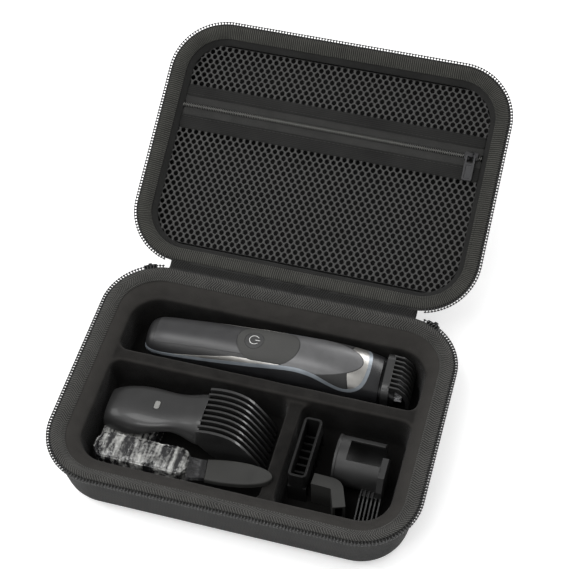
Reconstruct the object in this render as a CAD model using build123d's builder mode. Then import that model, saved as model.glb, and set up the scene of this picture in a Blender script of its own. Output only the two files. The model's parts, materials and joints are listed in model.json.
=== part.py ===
from build123d import *
from math import asin, cos, degrees, radians, sin, tan
import os

# Formed hard case for a hair trimmer, open, with the trimmer and its attachments inside.
# Millimetres. Origin: middle of the case's underside. +Z up, +Y towards the hinge.

os.makedirs("parts", exist_ok=True)

# Case outline: the rim is the outer edge of the woven binding
rim_width = 241.0
rim_depth = 174.0
rim_radius = 37.5
base_height = 45.0
lid_height = 30.0
wall_draft = 10.0
shell_wall = 4.0
base_edge_radius = 13.0
lid_edge_radius = 12.0

# Hinge side
lid_open_angle = 153.0
hinge_gap = 3.3
hinge_strip_length = 174.0
hinge_strip_dip = 1.6

# What is sewn to the rim, measured down from the plane where the halves meet
closing_gap = 0.2
binding_thickness = 1.0
binding_edge = 0.6
binding_width = 9.5
binding_drop = 2.8
tape_thickness = 0.7
tooth_pitch = 2.1
tooth_width = 1.1
tooth_reach = 2.0
tooth_root = 0.4
seam_gap = 0.1

# Inner tray
fit_gap = 0.25
tray_floor = 3.0
bay_width = 205.0
bay_depth = 133.0
bay_radius = 20.0
bay_drop = 10.0
bay_draft = 5.0
bay_corner = 7.0
bay_floor_radius = 4.0
bay_edge_radius = 2.5
ridge_y = 16.5
ridge_width = 9.0
divider_x = 25.0
divider_width = 8.0
divider_drop = 5.0

# Pocket in the lid
border_width = 5.5
border_drop = 3.6
mesh_thickness = 0.8
mesh_pitch_x = 10.0
mesh_pitch_y = 8.4
mesh_hole = 7.0
mesh_hem = 3.0
pocket_zip_from_hinge = 116.0
pocket_tape_thickness = 1.0
pocket_tape_lower = 15.5
pocket_tape_upper = 13.5
coil_width = 3.0
coil_height = 1.6
coil_pitch = 1.6

# Sliders and their pulls
slider_length = 9.5
slider_plate = 1.5
slider_flange = 1.1
slider_corner = 0.8
pocket_slider_park = 6.0
pocket_pull_length = 18.0
slider_park = 25.0
slider_turn = 13.0
slider_clearance = 0.2
slider_skin = 0.8
slider_shelf = 1.5
slider_height = 9.0
slider_seat = 0.1
zip_pull_length = 20.0
crown_width = 2.4
crown_span = 6.0
crown_rise = 3.3
crown_opening = 3.4
crown_clear = 2.2
bar_height = 1.2
pull_width = 7.0
pull_thickness = 1.2
pull_corner = 1.2
pull_window_width = 4.2
pull_window_length = 5.0
pull_groove_gap = 0.6
pull_groove_margin = 1.4

# Trimmer: stations are (along, half width, low, high), seen from its own underside
seat_gap = 0.3
trimmer_x = -1.0
trimmer_y = 43.0
trimmer_yaw = 2.0
trimmer_length = 161.0
trimmer_wall = 2.2
oval_fullness = 0.66
trimmer_stations = (
    (-86.0, 9.0, 11.5, 26.0),
    (-80.0, 13.2, 5.0, 32.5),
    (-68.0, 15.0, 1.0, 34.5),
    (-50.0, 15.8, -1.0, 35.8),
    (-30.0, 16.4, -1.2, 36.6),
    (-10.0, 17.0, -1.2, 37.1),
    (10.0, 17.4, -1.2, 37.4),
    (30.0, 17.8, -1.2, 37.2),
    (50.0, 18.2, -1.0, 35.2),
    (65.0, 17.7, 0.8, 32.0),
    (75.0, 16.8, 2.5, 28.5),
)
trim_line = (
    (-88.0, 21.0),
    (-60.0, 24.0),
    (-35.0, 26.5),
    (-12.0, 29.0),
    (8.0, 31.2),
    (22.0, 31.6),
    (34.0, 29.4),
    (46.0, 25.0),
    (55.0, 23.6),
    (63.0, 27.0),
    (68.0, 34.0),
    (71.0, 44.0),
)
trim_band = 2.4
inlay_proud = 0.15
inlay_depth = 0.9
inlay_seam = 0.5
inlay_floor = 18.0
pad_x = -2.0
pad_length = 42.0
pad_width = 25.0
face_start = -79.0
face_width = 21.0
face_corner = 2.0
shoulder_x = 26.0
shoulder_reach = 36.0
shoulder_half_width = 14.5
indicator_x = -37.0
indicator_length = 6.0
indicator_width = 2.2
accent_outline = ((-66, 20), (-66, 24.5), (-12.5, 34), (-11.5, 36.5), (33, 40), (31, 20))
insert_outline = ((31.8, 20), (33.8, 40), (51, 40), (56, 20))
neck_outline = ((56.8, 20), (51.8, 40), (75, 48), (75, 20))
button_x = -11.5
button_radius = 6.3
button_clearance = 0.2
button_low = 33.2
button_stem = 1.6
button_travel = 0.8
chassis_z = 20.6
chassis_thickness = 1.6
chassis_start = -72.0
chassis_end = 17.0
board_start = -62.0
board_end = 12.0
board_width = 22.0
board_corner = 2.0
board_thickness = 1.2
switch_size = 6.0
switch_top = 26.0
battery_start = -68.0
battery_length = 50.0
battery_radius = 6.8
battery_z = 13.5
battery_cap = 1.2
motor_start = 20.0
motor_length = 30.0
motor_radius = 8.5
motor_nose = 2.0
drive_z = 11.4
eccentric_radius = 4.5
eccentric_length = 6.0
eccentric_throw = 1.2
eccentric_pin = 0.9
eccentric_pin_length = 5.0
socket_z = 15.6
socket_width = 9.5
socket_height = 5.5
socket_corner = 1.5
socket_depth = 8.0
socket_wall = 1.0
head_z = 15.5
head_width = 30.0
head_height = 20.0
head_corner = 6.0
head_length = 10.5
lip_height = 8.0
lip_corner = 2.0
blade_z = 17.2
blade_slot = 2.8
blade_gap = 0.2
blade_reach = 5.0
blade_setback = 0.6
blade_tooth_length = 3.0
fixed_blade_thickness = 0.8
fixed_blade_width = 27.0
fixed_teeth = 18
moving_blade_thickness = 0.8
moving_teeth = 14
yoke_width = 6.4
pin_gap = 0.2
yoke_channel = 5.0
ring_setback = 2.0
ring_length = 5.0
ring_width = 35.0
ring_height = 30.0
ring_corner = 9.0
ring_wall = 2.0
ring_side_gap = 0.5
ring_top_gap = 1.0
slim_plates = 8
slim_pitch = 3.6
slim_thickness = 1.1
slim_outline = (
    (-1.0, 11.2),
    (-1.0, 14.8),
    (6.0, 14.0),
    (11.0, 9.0),
    (14.0, 1.0),
    (13.8, -7.0),
    (11.5, -7.0),
    (11.0, 1.0),
    (8.5, 7.5),
    (4.0, 10.6),
)

# Clear bag and the spare comb in it
bag_left = -95.0
bag_right = -30.0
bag_front = -59.0
bag_middle = -38.0
bag_back = -8.0
bag_step = -58.0
bag_height = 20.5
bag_low_height = 13.0
bag_corner = 9.0
bag_edge = 4.0
bag_wall = 0.5
spare_x = -62.0
spare_y = -48.5
spare_length = 44.0
spare_width = 15.0
spare_corner = 2.0
spare_rail = 2.0
spare_plates = 8
spare_pitch = 5.0
spare_thickness = 1.0
spare_height = 12.0

# Long comb: heights are measured from the rim; stations are (x, half width, top, low)
comb_y = -18.5
comb_half_width = 17.5
comb_wall = 1.7
comb_thickness = 1.3
comb_plates = 7
hood_fullness = 0.8
hood_stations = (
    (-95.0, 13.0, -15.0, -24.0),
    (-86.0, 16.0, -10.5, -23.6),
    (-74.0, 17.5, -8.6, -21.0),
    (-62.0, 16.4, -8.0, -17.0),
    (-50.0, 14.4, -6.2, -14.0),
    (-38.0, 15.6, -2.6, -15.0),
    (-28.0, 17.4, 0.0, -16.0),
)
plate_upper = (
    (-29.0, -1.0),
    (-21.0, 0.6),
    (-13.0, 0.4),
    (-4.0, -3.0),
    (4.0, -12.0),
    (13.0, -27.5),
    (15.5, -33.0),
)
plate_lower = ((12.5, -34.0), (7.0, -27.0), (-1.0, -15.0), (-9.0, -9.0), (-19.0, -8.0), (-29.0, -9.0))
wall_lower = ((11.0, -37.4), (-2.0, -37.4), (-12.0, -33.0), (-22.0, -24.0), (-29.0, -15.5))
comb_lock_x = -61.0
lock_length = 3.6
lock_width = 6.0
lock_corner = 1.2
lock_low = -11.6
lock_height = 4.4

# Cleaning brush: lies turned about its tip
brush_yaw = 7.0
brush_y = -50.0
brush_low = -14.6
brush_half_width = 7.5
brush_thickness = 4.2
brush_edge = 1.2
brush_root = -17.0
brush_belly = 2.0
brush_swell = 1.35
brush_tip = 25.5
tuft_backing = 1.0
tuft_margin = 0.5
tuft_length = 11.0
tuft_pitch_y = 0.54
tuft_pitch_z = 0.34
tuft_columns = 26
tuft_rows = 12
tuft_strand = 0.22

# Spare combs in the right bay
short_x = 40.4
short_y = -24.5
short_width = 12.0
short_length = 45.0
short_height = 29.5
short_collar = 14.0
short_wall = 1.6
short_corner = 3.0
short_plates = 9
short_thickness = 1.4
wide_route = ((49.8, -42.0), (65.5, -42.5), (71.0, -58.0))
wide_bend = 5.0
wide_width = 8.0
wide_wall = 1.6
wide_height = 23.0
ring_left = 60.0
ring_y = -20.5
ring_radius = 16.0
ring_lip_radius = 16.6
ring_lip = 1.6
ring_skin = 1.6
ring_tube = 30.0
ring_window = 22.0
ring_window_width = 15.0
ring_plate = 4.0
ring_plate_y = -27.0
ring_plate_z = -1.0
ring_plate_radius = 15.0
ring_plate_span = 26.0
ring_teeth = 6
ring_tooth = 1.0
ring_tooth_pitch = 2.6
ring_tooth_outline = ((-14.0, -15.5), (-36.0, -15.5), (-37.0, -11.0), (-22.0, -4.0), (-14.0, -4.0))
ring_spine_outline = ((-14.0, -15.5), (-19.0, -15.5), (-19.0, -6.0), (-14.0, -6.0))

# Planes: each half is drawn in its rim plane, seen from its open side
rim_stack = closing_gap + binding_thickness + tape_thickness
hinge_y = rim_depth / 2 + hinge_gap
lid_lean = radians(180.0 - lid_open_angle)
lid_out = Vector(0, cos(lid_lean), sin(lid_lean))
hinge_axis = Vector(0, hinge_y, base_height)
base_rim = Plane.XY.offset(base_height)
lid_rim = Plane(
    origin=hinge_axis + lid_out * (rim_depth / 2 + hinge_gap),
    x_dir=(1, 0, 0),
    z_dir=(0, -sin(lid_lean), cos(lid_lean)),
)
floor_z = shell_wall + tray_floor
draft_slope = tan(radians(wall_draft))


def rim_outline(inset, mode=Mode.ADD):
    """The rim's rounded outline, drawn in by an inset."""
    RectangleRounded(rim_width - 2 * inset, rim_depth - 2 * inset, rim_radius - inset, mode=mode)


def finish(part, name):
    """Label a finished piece and write it."""
    part.label = name
    export_step(part, f"parts/{name}.step")
    return part


def drafted_tub(rim, inset, top, bottom, edge_radius):
    """The solid inside a drafted wall, from one depth below the rim to another."""
    with BuildPart() as tub:
        with BuildSketch(rim.offset(-top)):
            rim_outline(inset)
        extrude(amount=top - bottom, taper=wall_draft)
        underside = tub.faces().sort_by(Axis(rim.origin, rim.z_dir))[0]
        fillet(underside.edges(), edge_radius)
    return tub.part


def formed_shell(rim, height, edge_radius):
    """Outer shell of one half: drafted walls, rounded floor edge, even thickness."""
    inside = drafted_tub(rim, shell_wall, rim_stack, height - shell_wall, edge_radius - shell_wall)
    with BuildPart() as shell:
        add(drafted_tub(rim, 0, rim_stack, height, edge_radius))
        add(inside, mode=Mode.SUBTRACT)
    return shell.part


def rim_band(rim, section):
    """A band sewn all the way round the rim, from its (inset, height) section."""
    with BuildSketch(rim) as outline:
        rim_outline(0)
    path = outline.sketch.wires()[0]
    inward = rim.z_dir.cross(path % 0)
    with BuildPart() as band:
        with BuildSketch(Plane(origin=path @ 0, x_dir=inward, z_dir=path % 0)):
            with BuildLine():
                Polyline(*section, close=True)
            make_face()
        sweep(path=path)
    return band.part


def zip_tape(rim):
    """Flat woven tape that lies on the shell's rim, under the binding."""
    with BuildPart() as tape:
        with BuildSketch(rim.offset(-rim_stack)):
            rim_outline(0)
            rim_outline(shell_wall, Mode.SUBTRACT)
        extrude(amount=tape_thickness)
    return tape.part


def tooth_places(hinge_side, shift):
    """Where the teeth stand: three sides and the corners, clear of the hinge strip."""
    straight_x = rim_width / 2 - rim_radius
    straight_y = rim_depth / 2 - rim_radius
    chain_start = degrees(asin((hinge_strip_length / 2 - straight_x) / rim_radius))
    tooth_turn = degrees(tooth_pitch / rim_radius)
    places = []
    for side_x in (-1, 1):
        for side_y in (-1, 1):
            quarter = 90.0 - (chain_start if side_y == hinge_side else 0.0)
            corner = Location((side_x * straight_x, side_y * straight_y))
            for tooth in range(int(quarter / tooth_turn)):
                turned = side_x * side_y * tooth_turn * (tooth + shift)
                angle = turned + (0.0 if side_x > 0 else 180.0)
                places.append(corner * Location((0, 0, 0), (0, 0, angle)) * Location((rim_radius, 0)))
        for tooth in range(int(2 * straight_y / tooth_pitch)):
            along = tooth_pitch * (tooth + shift) - straight_y
            angle = 0.0 if side_x > 0 else 180.0
            places.append(Location((side_x * rim_width / 2, along), (0, 0, angle)))
    for tooth in range(int(2 * straight_x / tooth_pitch)):
        along = tooth_pitch * (tooth + shift) - straight_x
        places.append(Location((along, -hinge_side * rim_depth / 2), (0, 0, -90 * hinge_side)))
    return places


def zip_teeth(rim, hinge_side, shift):
    """Teeth that stand out from the tape's edge, joined by the edge they are sewn to."""
    with BuildPart() as teeth:
        with BuildSketch(rim.offset(-rim_stack)):
            rim_outline(-tooth_root)
            rim_outline(0, Mode.SUBTRACT)
            with Locations((0, rim_depth / 2 * hinge_side)):
                Rectangle(hinge_strip_length, rim_radius / 2, mode=Mode.SUBTRACT)
            with Locations(*tooth_places(hinge_side, shift)):
                with Locations(((tooth_root / 2 + tooth_reach) / 2, 0)):
                    Rectangle(tooth_reach - tooth_root / 2, tooth_width)
        extrude(amount=rim_stack - closing_gap)
    return teeth.part


binding_inner = -closing_gap - binding_drop
binding_section = (
    (binding_edge, -closing_gap - binding_thickness),
    (binding_edge, -closing_gap - binding_thickness / 3),
    (binding_edge + 0.5, -closing_gap),
    (shell_wall + fit_gap, -closing_gap),
    (binding_width, binding_inner),
    (binding_width, binding_inner - binding_thickness),
    (shell_wall + fit_gap, -closing_gap - binding_thickness),
)

halves = (
    ("base", base_rim, base_height, base_edge_radius, 1, 0.0),
    ("lid", lid_rim, lid_height, lid_edge_radius, -1, 0.5),
)
for half, rim, height, edge_radius, hinge_side, shift in halves:
    finish(formed_shell(rim, height, edge_radius), f"{half}_shell")
    finish(rim_band(rim, binding_section), f"{half}_binding")
    finish(zip_tape(rim), f"{half}_zip_tape")
    finish(zip_teeth(rim, hinge_side, shift), f"{half}_zip_teeth")

# Inner tray: a dished edge under the binding, then three bays
dish_top = rim_stack
under_binding = binding_drop + closing_gap + binding_thickness + seam_gap
lip_slope = (binding_width - shell_wall - fit_gap) / binding_drop
lip_inset = shell_wall + fit_gap + lip_slope * (dish_top - closing_gap - binding_thickness - seam_gap)
bay_depth_below = base_height - bay_drop - floor_z


def bay_region(low_x, high_x, low_y, high_y):
    """The part of the tray's opening that lies between four limits."""
    RectangleRounded(bay_width, bay_depth, bay_radius)
    with Locations(((low_x + high_x) / 2, (low_y + high_y) / 2)):
        Rectangle(high_x - low_x, high_y - low_y, mode=Mode.INTERSECT)


bay_plane = base_rim.offset(-bay_drop)
ridge_back = ridge_y + ridge_width / 2
ridge_front = ridge_y - ridge_width / 2
half_bay = bay_width / 2
half_deep = bay_depth / 2
bays = (
    (-half_bay, half_bay, ridge_back, half_deep),
    (-half_bay, divider_x - divider_width / 2, -half_deep, ridge_front),
    (divider_x + divider_width / 2, half_bay, -half_deep, ridge_front),
)


def bay_cut(low_x, high_x, low_y, high_y, inner_corners, depth):
    """The hollow of one bay, with drafted walls and a rounded floor edge."""
    with BuildPart() as bay:
        with BuildSketch(bay_plane) as opening:
            bay_region(low_x, high_x, low_y, high_y)
            corners = [v for v in opening.vertices() if (round(v.X, 3), round(v.Y, 3)) in inner_corners]
            if corners:
                fillet(corners, bay_corner)
        extrude(amount=-depth, taper=bay_draft)
    return bay.part


with BuildPart() as base_tray:
    tray_inset = shell_wall + fit_gap
    tray_corner = base_edge_radius - shell_wall
    add(drafted_tub(base_rim, tray_inset, rim_stack, base_height - shell_wall, tray_corner))
    # dish: from the lip under the binding down to the bays' outline
    with BuildSketch(base_rim.offset(-dish_top)):
        rim_outline(lip_inset)
    with BuildSketch(base_rim.offset(-under_binding)):
        rim_outline(binding_width)
    loft(ruled=True, mode=Mode.SUBTRACT)
    with BuildSketch(base_rim.offset(-under_binding)):
        rim_outline(binding_width)
    with BuildSketch(bay_plane):
        RectangleRounded(bay_width, bay_depth, bay_radius)
    loft(ruled=True, mode=Mode.SUBTRACT)
    for low_x, high_x, low_y, high_y in bays:
        corners = {(x, y) for x in (low_x, high_x) for y in (low_y, high_y)}
        add(bay_cut(low_x, high_x, low_y, high_y, corners, bay_depth_below), mode=Mode.SUBTRACT)
    step_reach = divider_width / 2 + divider_width
    step_left = divider_x - step_reach
    step_right = divider_x + step_reach
    add(bay_cut(step_left, step_right, -half_deep, ridge_front, set(), divider_drop), mode=Mode.SUBTRACT)
    fillet(base_tray.edges().filter_by_position(Axis.Z, floor_z - 0.01, floor_z + 0.01), bay_floor_radius)
    bay_top = base_height - bay_drop
    fillet(base_tray.edges().filter_by_position(Axis.Z, bay_top - 0.01, bay_top + 0.01), bay_edge_radius)
finish(base_tray.part, "base_tray")

# Hinge: a woven strip sewn to the back edge of both rims
tape_middle = -rim_stack + tape_thickness / 2
strip_base = base_rim.from_local_coords((0, rim_depth / 2, tape_middle))
strip_lid = lid_rim.from_local_coords((0, -rim_depth / 2, tape_middle))
strip_sag = Vector(0, 0, -hinge_strip_dip)
strip_side = Plane(origin=(-hinge_strip_length / 2, 0, 0), x_dir=(0, 1, 0), z_dir=(1, 0, 0))
with BuildPart() as hinge_strip:
    with BuildSketch(strip_side):
        with BuildLine():
            half_thick = Vector(0, 0, tape_thickness / 2)
            lid_half_thick = lid_rim.z_dir * (tape_thickness / 2)
            upper = [strip_base + half_thick, (strip_base + strip_lid) / 2 + strip_sag + half_thick,
                     strip_lid + lid_half_thick]
            lower = [strip_base - half_thick, (strip_base + strip_lid) / 2 + strip_sag - half_thick,
                     strip_lid - lid_half_thick]
            ThreePointArc(*[(p.Y, p.Z) for p in upper])
            ThreePointArc(*[(p.Y, p.Z) for p in lower])
            Line((upper[0].Y, upper[0].Z), (lower[0].Y, lower[0].Z))
            Line((upper[2].Y, upper[2].Z), (lower[2].Y, lower[2].Z))
        make_face()
    extrude(amount=hinge_strip_length)
finish(hinge_strip.part, "hinge_strip")

# Pocket in the lid: a smooth border, two mesh panels and a zip between them
border_inset = binding_width + border_width
mesh_top = -under_binding - border_drop
mesh_bottom = mesh_top - mesh_thickness
border_section = (
    (shell_wall + fit_gap, -closing_gap - binding_thickness - seam_gap),
    (binding_width, -under_binding),
    (border_inset, mesh_top),
    (border_inset, mesh_bottom),
    (binding_width, -under_binding - mesh_thickness),
    (shell_wall + fit_gap, -closing_gap - binding_thickness - seam_gap - mesh_thickness),
)
finish(rim_band(lid_rim, border_section), "pocket_border")

pocket_zip_y = pocket_zip_from_hinge - rim_depth / 2 - hinge_gap
coil_low = pocket_zip_y - coil_width / 2
coil_high = pocket_zip_y + coil_width / 2
panel_reach = rim_depth / 2


def lid_strip(low_y, high_y):
    """The part of the pocket's opening between two lines across the lid."""
    rim_outline(border_inset)
    with Locations((0, (low_y + high_y) / 2)):
        Rectangle(rim_width, high_y - low_y, mode=Mode.INTERSECT)


def in_panel(x, y, low_y, high_y):
    """Whether a hole stands clear of the panel's hem."""
    margin = mesh_hem + mesh_hole / 2
    half_x = rim_width / 2 - border_inset - margin
    half_y = rim_depth / 2 - border_inset - margin
    corner = rim_radius - border_inset - margin
    over = Vector(max(abs(x) - half_x + corner, 0), max(abs(y) - half_y + corner, 0)).length
    in_height = max(low_y + margin, -half_y) <= y <= min(high_y - margin, half_y)
    return abs(x) <= half_x and over <= corner and in_height


def mesh_panel(low_y, high_y):
    """Knitted mesh: one sheet with staggered six-sided holes."""
    rows = int(rim_depth / mesh_pitch_y)
    columns = int(rim_width / mesh_pitch_x)
    spots = []
    for row in range(-rows, rows + 1):
        for column in range(-columns, columns + 1):
            x = mesh_pitch_x * (column + 0.5 * (row % 2))
            y = mesh_pitch_y * row
            if in_panel(x, y, low_y, high_y):
                spots.append((x, y))
    with BuildPart() as panel:
        with BuildSketch(lid_rim.offset(mesh_bottom)):
            lid_strip(low_y, high_y)
            with Locations(*spots):
                RegularPolygon(mesh_hole / 2, 6, rotation=30, mode=Mode.SUBTRACT)
        extrude(amount=mesh_thickness)
    return panel.part


def pocket_tape(low_y, high_y):
    """One of the two tapes that hold the pocket's coil."""
    with BuildPart() as tape:
        with BuildSketch(lid_rim.offset(mesh_bottom)):
            lid_strip(low_y, high_y)
        extrude(amount=pocket_tape_thickness)
    return tape.part


finish(mesh_panel(-panel_reach, coil_low - pocket_tape_lower), "pocket_mesh_lower")
finish(mesh_panel(coil_high + pocket_tape_upper, panel_reach), "pocket_mesh_upper")
finish(pocket_tape(coil_low - pocket_tape_lower, coil_low), "pocket_tape_lower")
finish(pocket_tape(coil_high, coil_high + pocket_tape_upper), "pocket_tape_upper")

coil_reach = rim_width / 2 - border_inset
coil_count = int(2 * coil_reach / coil_pitch)
coil_side = Plane(
    origin=lid_rim.from_local_coords((0, coil_low, mesh_bottom)), x_dir=lid_rim.x_dir, z_dir=-lid_rim.y_dir
)
with BuildPart() as pocket_coil:
    with BuildSketch(coil_side):
        Rectangle(2 * coil_reach, pocket_tape_thickness, align=(Align.CENTER, Align.MIN))
        with Locations((0, pocket_tape_thickness)):
            with GridLocations(coil_pitch, 0, coil_count, 1):
                Rectangle(
                    coil_pitch / 2, coil_height - pocket_tape_thickness, align=(Align.CENTER, Align.MIN)
                )
    extrude(amount=-coil_width)
finish(pocket_coil.part, "pocket_coil")


# Slider pulls: each hangs by its end bar in an arch on the slider
def slider_crown(face):
    """Arch on a slider's plate; the face's x runs along the pull's bar."""
    side = Plane(origin=face.origin - face.x_dir * (crown_width / 2), x_dir=face.y_dir, z_dir=face.x_dir)
    with BuildPart() as crown:
        with BuildSketch(side):
            Trapezoid(crown_span, crown_rise, 65, align=(Align.CENTER, Align.MIN))
            Rectangle(crown_opening, crown_clear, align=(Align.CENTER, Align.MIN), mode=Mode.SUBTRACT)
        extrude(amount=crown_width)
    return crown.part


def zip_pull(face, length, tilt):
    """Flat pull with a window that leaves its end bar; it hangs towards the face's -y."""
    bar = Plane(origin=face.from_local_coords((0, 0, bar_height)), x_dir=face.x_dir, z_dir=face.z_dir)
    leaf = bar.rotated((-tilt, 0, 0))
    with BuildPart() as pull:
        with BuildSketch(leaf.offset(-pull_thickness / 2)):
            with Locations((0, pull_thickness / 2)):
                Rectangle(pull_width, length, align=(Align.CENTER, Align.MAX))
            fillet(vertices(), pull_corner)
            with Locations((0, -pull_thickness / 2)):
                Rectangle(
                    pull_window_width,
                    pull_window_length,
                    align=(Align.CENTER, Align.MAX),
                    mode=Mode.SUBTRACT,
                )
            with Locations((0, -pull_window_length - pull_thickness - pull_groove_gap)):
                Rectangle(
                    pull_width - 2 * pull_groove_margin,
                    length - pull_window_length - 2 * pull_groove_gap - pull_thickness - pull_groove_margin,
                    align=(Align.CENTER, Align.MAX),
                    mode=Mode.SUBTRACT,
                )
        extrude(amount=pull_thickness)
        with BuildSketch(leaf.offset(-pull_thickness / 4)):
            with Locations((0, -pull_window_length)):
                Rectangle(
                    pull_width - pull_groove_margin,
                    length - pull_window_length - pull_thickness,
                    align=(Align.CENTER, Align.MAX),
                )
        extrude(amount=pull_thickness / 2)
    return pull.part


# Pocket slider: a plate over the coil with a flange on each side
slider_low = mesh_bottom + coil_height + fit_gap
slider_top = slider_low + slider_plate
slider_half = coil_width / 2 + fit_gap + slider_flange
pocket_slider_x = coil_reach - pocket_slider_park
slider_side = Plane(
    origin=lid_rim.from_local_coords((pocket_slider_x - slider_length / 2, pocket_zip_y, 0)),
    x_dir=lid_rim.y_dir,
    z_dir=lid_rim.x_dir,
)
pocket_face = Plane(
    origin=lid_rim.from_local_coords((pocket_slider_x, pocket_zip_y, slider_top)),
    x_dir=lid_rim.x_dir,
    z_dir=lid_rim.z_dir,
)
with BuildPart() as pocket_slider:
    with BuildSketch(slider_side):
        with Locations((0, slider_top)):
            Rectangle(2 * slider_half, slider_plate, align=(Align.CENTER, Align.MAX))
        for side in (-1, 1):
            with Locations((side * (slider_half - slider_flange / 2), slider_top)):
                tape_top = mesh_bottom + pocket_tape_thickness
                Rectangle(slider_flange, slider_top - tape_top - fit_gap, align=(Align.CENTER, Align.MAX))
    extrude(amount=slider_length)
    upright = pocket_slider.edges().filter_by(Axis(lid_rim.origin, lid_rim.z_dir))
    fillet(upright.group_by(SortBy.LENGTH)[-1], slider_corner)
    add(slider_crown(pocket_face))
finish(pocket_slider.part, "pocket_slider")
pull_drop = bar_height + slider_top - mesh_bottom - pocket_tape_thickness - pull_thickness / 2 - fit_gap
pocket_pull_tilt = degrees(asin(pull_drop / pocket_pull_length))
finish(zip_pull(pocket_face, pocket_pull_length, -pocket_pull_tilt), "pocket_pull")

# Main zip: one slider at each end of the chain, bent round the case's back corner
for name, side in (("left", -1), ("right", 1)):
    corner_x = side * (rim_width / 2 - rim_radius)
    corner_y = rim_depth / 2 - rim_radius
    outwards = Vector(side * sin(radians(slider_park)), cos(radians(slider_park)), 0)
    sweep_start = radians(slider_park - slider_turn / 2)
    start_out = Vector(side * sin(sweep_start), cos(sweep_start), 0)
    corner_axis = Axis((corner_x, corner_y, 0), (0, 0, -side))
    section_plane = Plane(
        origin=(corner_x, corner_y, base_height), x_dir=start_out, z_dir=start_out.cross(Vector(0, 0, 1))
    )
    teeth_reach = rim_radius + tooth_reach + slider_clearance
    slider_outer = teeth_reach + slider_skin
    with BuildPart() as slider:
        with BuildSketch(section_plane):
            with BuildLine():
                Polyline(
                    (rim_radius + slider_clearance, -rim_stack - slider_clearance),
                    (teeth_reach, -rim_stack - slider_clearance),
                    (teeth_reach, -closing_gap - slider_clearance),
                    (slider_outer, -closing_gap - slider_clearance),
                    (slider_outer, -slider_height),
                    (teeth_reach, -slider_height),
                    (teeth_reach, -rim_stack - slider_clearance - slider_shelf),
                    (rim_radius + slider_clearance, -rim_stack - slider_clearance - slider_shelf),
                    close=True,
                )
            make_face()
        revolve(axis=corner_axis, revolution_arc=slider_turn)
        face_middle = Vector(corner_x, corner_y, base_height - slider_height / 2)
        face = Plane(
            origin=face_middle + outwards * (slider_outer - slider_seat),
            x_dir=Vector(0, 0, 1).cross(outwards),
            z_dir=outwards,
        )
        add(slider_crown(face))
    finish(slider.part, f"zip_slider_{name}")
    finish(zip_pull(face, zip_pull_length, 0), f"zip_pull_{name}")


# Trimmer: lies in the long bay with its head towards +X
trimmer_base = Plane(
    origin=(trimmer_x, trimmer_y, floor_z + seat_gap),
    x_dir=(cos(radians(trimmer_yaw)), sin(radians(trimmer_yaw)), 0),
    z_dir=(0, 0, 1),
)
trimmer_side = Plane(origin=trimmer_base.origin, x_dir=trimmer_base.x_dir, z_dir=-trimmer_base.y_dir)


def across(x):
    """The plane across the trimmer at one station, seen from the head."""
    return Plane(
        origin=trimmer_base.from_local_coords((x, 0, 0)), x_dir=trimmer_base.y_dir, z_dir=trimmer_base.x_dir
    )


def soft_oval(plane, half_width, low, high):
    """Full oval, flatter than an ellipse on its four sides."""
    middle = (low + high) / 2
    rise = (high - low) / 2
    with BuildSketch(plane) as oval:
        with BuildLine():
            for side in (-1, 1):
                for way in (-1, 1):
                    Bezier(
                        (side * half_width, middle),
                        (side * half_width, middle + way * rise * oval_fullness),
                        (side * half_width * oval_fullness, middle + way * rise),
                        (0, middle + way * rise),
                    )
        make_face()
    return oval.sketch


def trimmer_form(inset):
    """The trimmer's body, drawn in by an inset and flat underneath."""
    sections = []
    for x, half_width, low, high in trimmer_stations:
        end_shift = {trimmer_stations[0][0]: inset, trimmer_stations[-1][0]: -inset}.get(x, 0)
        oval = soft_oval(across(x + end_shift), half_width - inset, low + inset, high - inset)
        sections.append(oval.face())
    with BuildPart() as form:
        loft(sections=sections)
        split(bisect_by=trimmer_base.offset(inset), keep=Keep.TOP)
    return form.part


def trim_edge(shift):
    """The trim line's points, moved square to the line."""
    points = []
    for index, (x, z) in enumerate(trim_line):
        before = trim_line[max(index - 1, 0)]
        after = trim_line[min(index + 1, len(trim_line) - 1)]
        run = Vector(after[0] - before[0], after[1] - before[1]).normalized()
        points.append((x - shift * run.Y, z + shift * run.X))
    return points


def trim_side(shift, above):
    """Everything above or below the trim line, right across the trimmer."""
    points = trim_edge(shift)
    reach = trimmer_length
    with BuildPart() as region:
        with BuildSketch(trimmer_side):
            with BuildLine():
                Spline(*points)
                if above:
                    Polyline(
                        points[-1],
                        (points[-1][0], reach),
                        (-reach, reach),
                        (-reach, points[0][1]),
                        points[0],
                    )
                else:
                    Polyline(points[-1], (reach, points[-1][1]), (reach, -reach), (-reach, -reach),
                             (-reach, points[0][1]), points[0])
            make_face()
        extrude(amount=trimmer_length / 2, both=True)
    return region.part


def plan_prism(draw):
    """A region of the trimmer's top, drawn in plan and carried straight down to mid height."""
    with BuildPart() as prism:
        with BuildSketch(trimmer_base.offset(inlay_floor)):
            draw()
        extrude(amount=trimmer_length / 2)
    return prism.part


def pad_plan(margin=0.0):
    with Locations((pad_x, 0)):
        SlotOverall(pad_length + 2 * margin, pad_width + 2 * margin)


def panel_plan():
    with Locations(((face_start + pad_x) / 2, 0)):
        Rectangle(pad_x - face_start, face_width)
    fillet(vertices(), face_corner)
    with Locations((pad_x, 0)):
        SlotOverall(pad_length + 2 * inlay_seam, pad_width + 2 * inlay_seam, mode=Mode.SUBTRACT)


def shoulder_plan(margin=0.0):
    with Locations((shoulder_x, 0)):
        Ellipse(shoulder_reach + margin, shoulder_half_width + margin)


form_outer = trimmer_form(0)
form_skin = trimmer_form(-inlay_proud)
form_under = trimmer_form(inlay_depth)
form_cavity = trimmer_form(trimmer_wall)
upper_side = trim_side(trim_band / 2, True)
lower_side = trim_side(-trim_band / 2, False)

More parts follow.
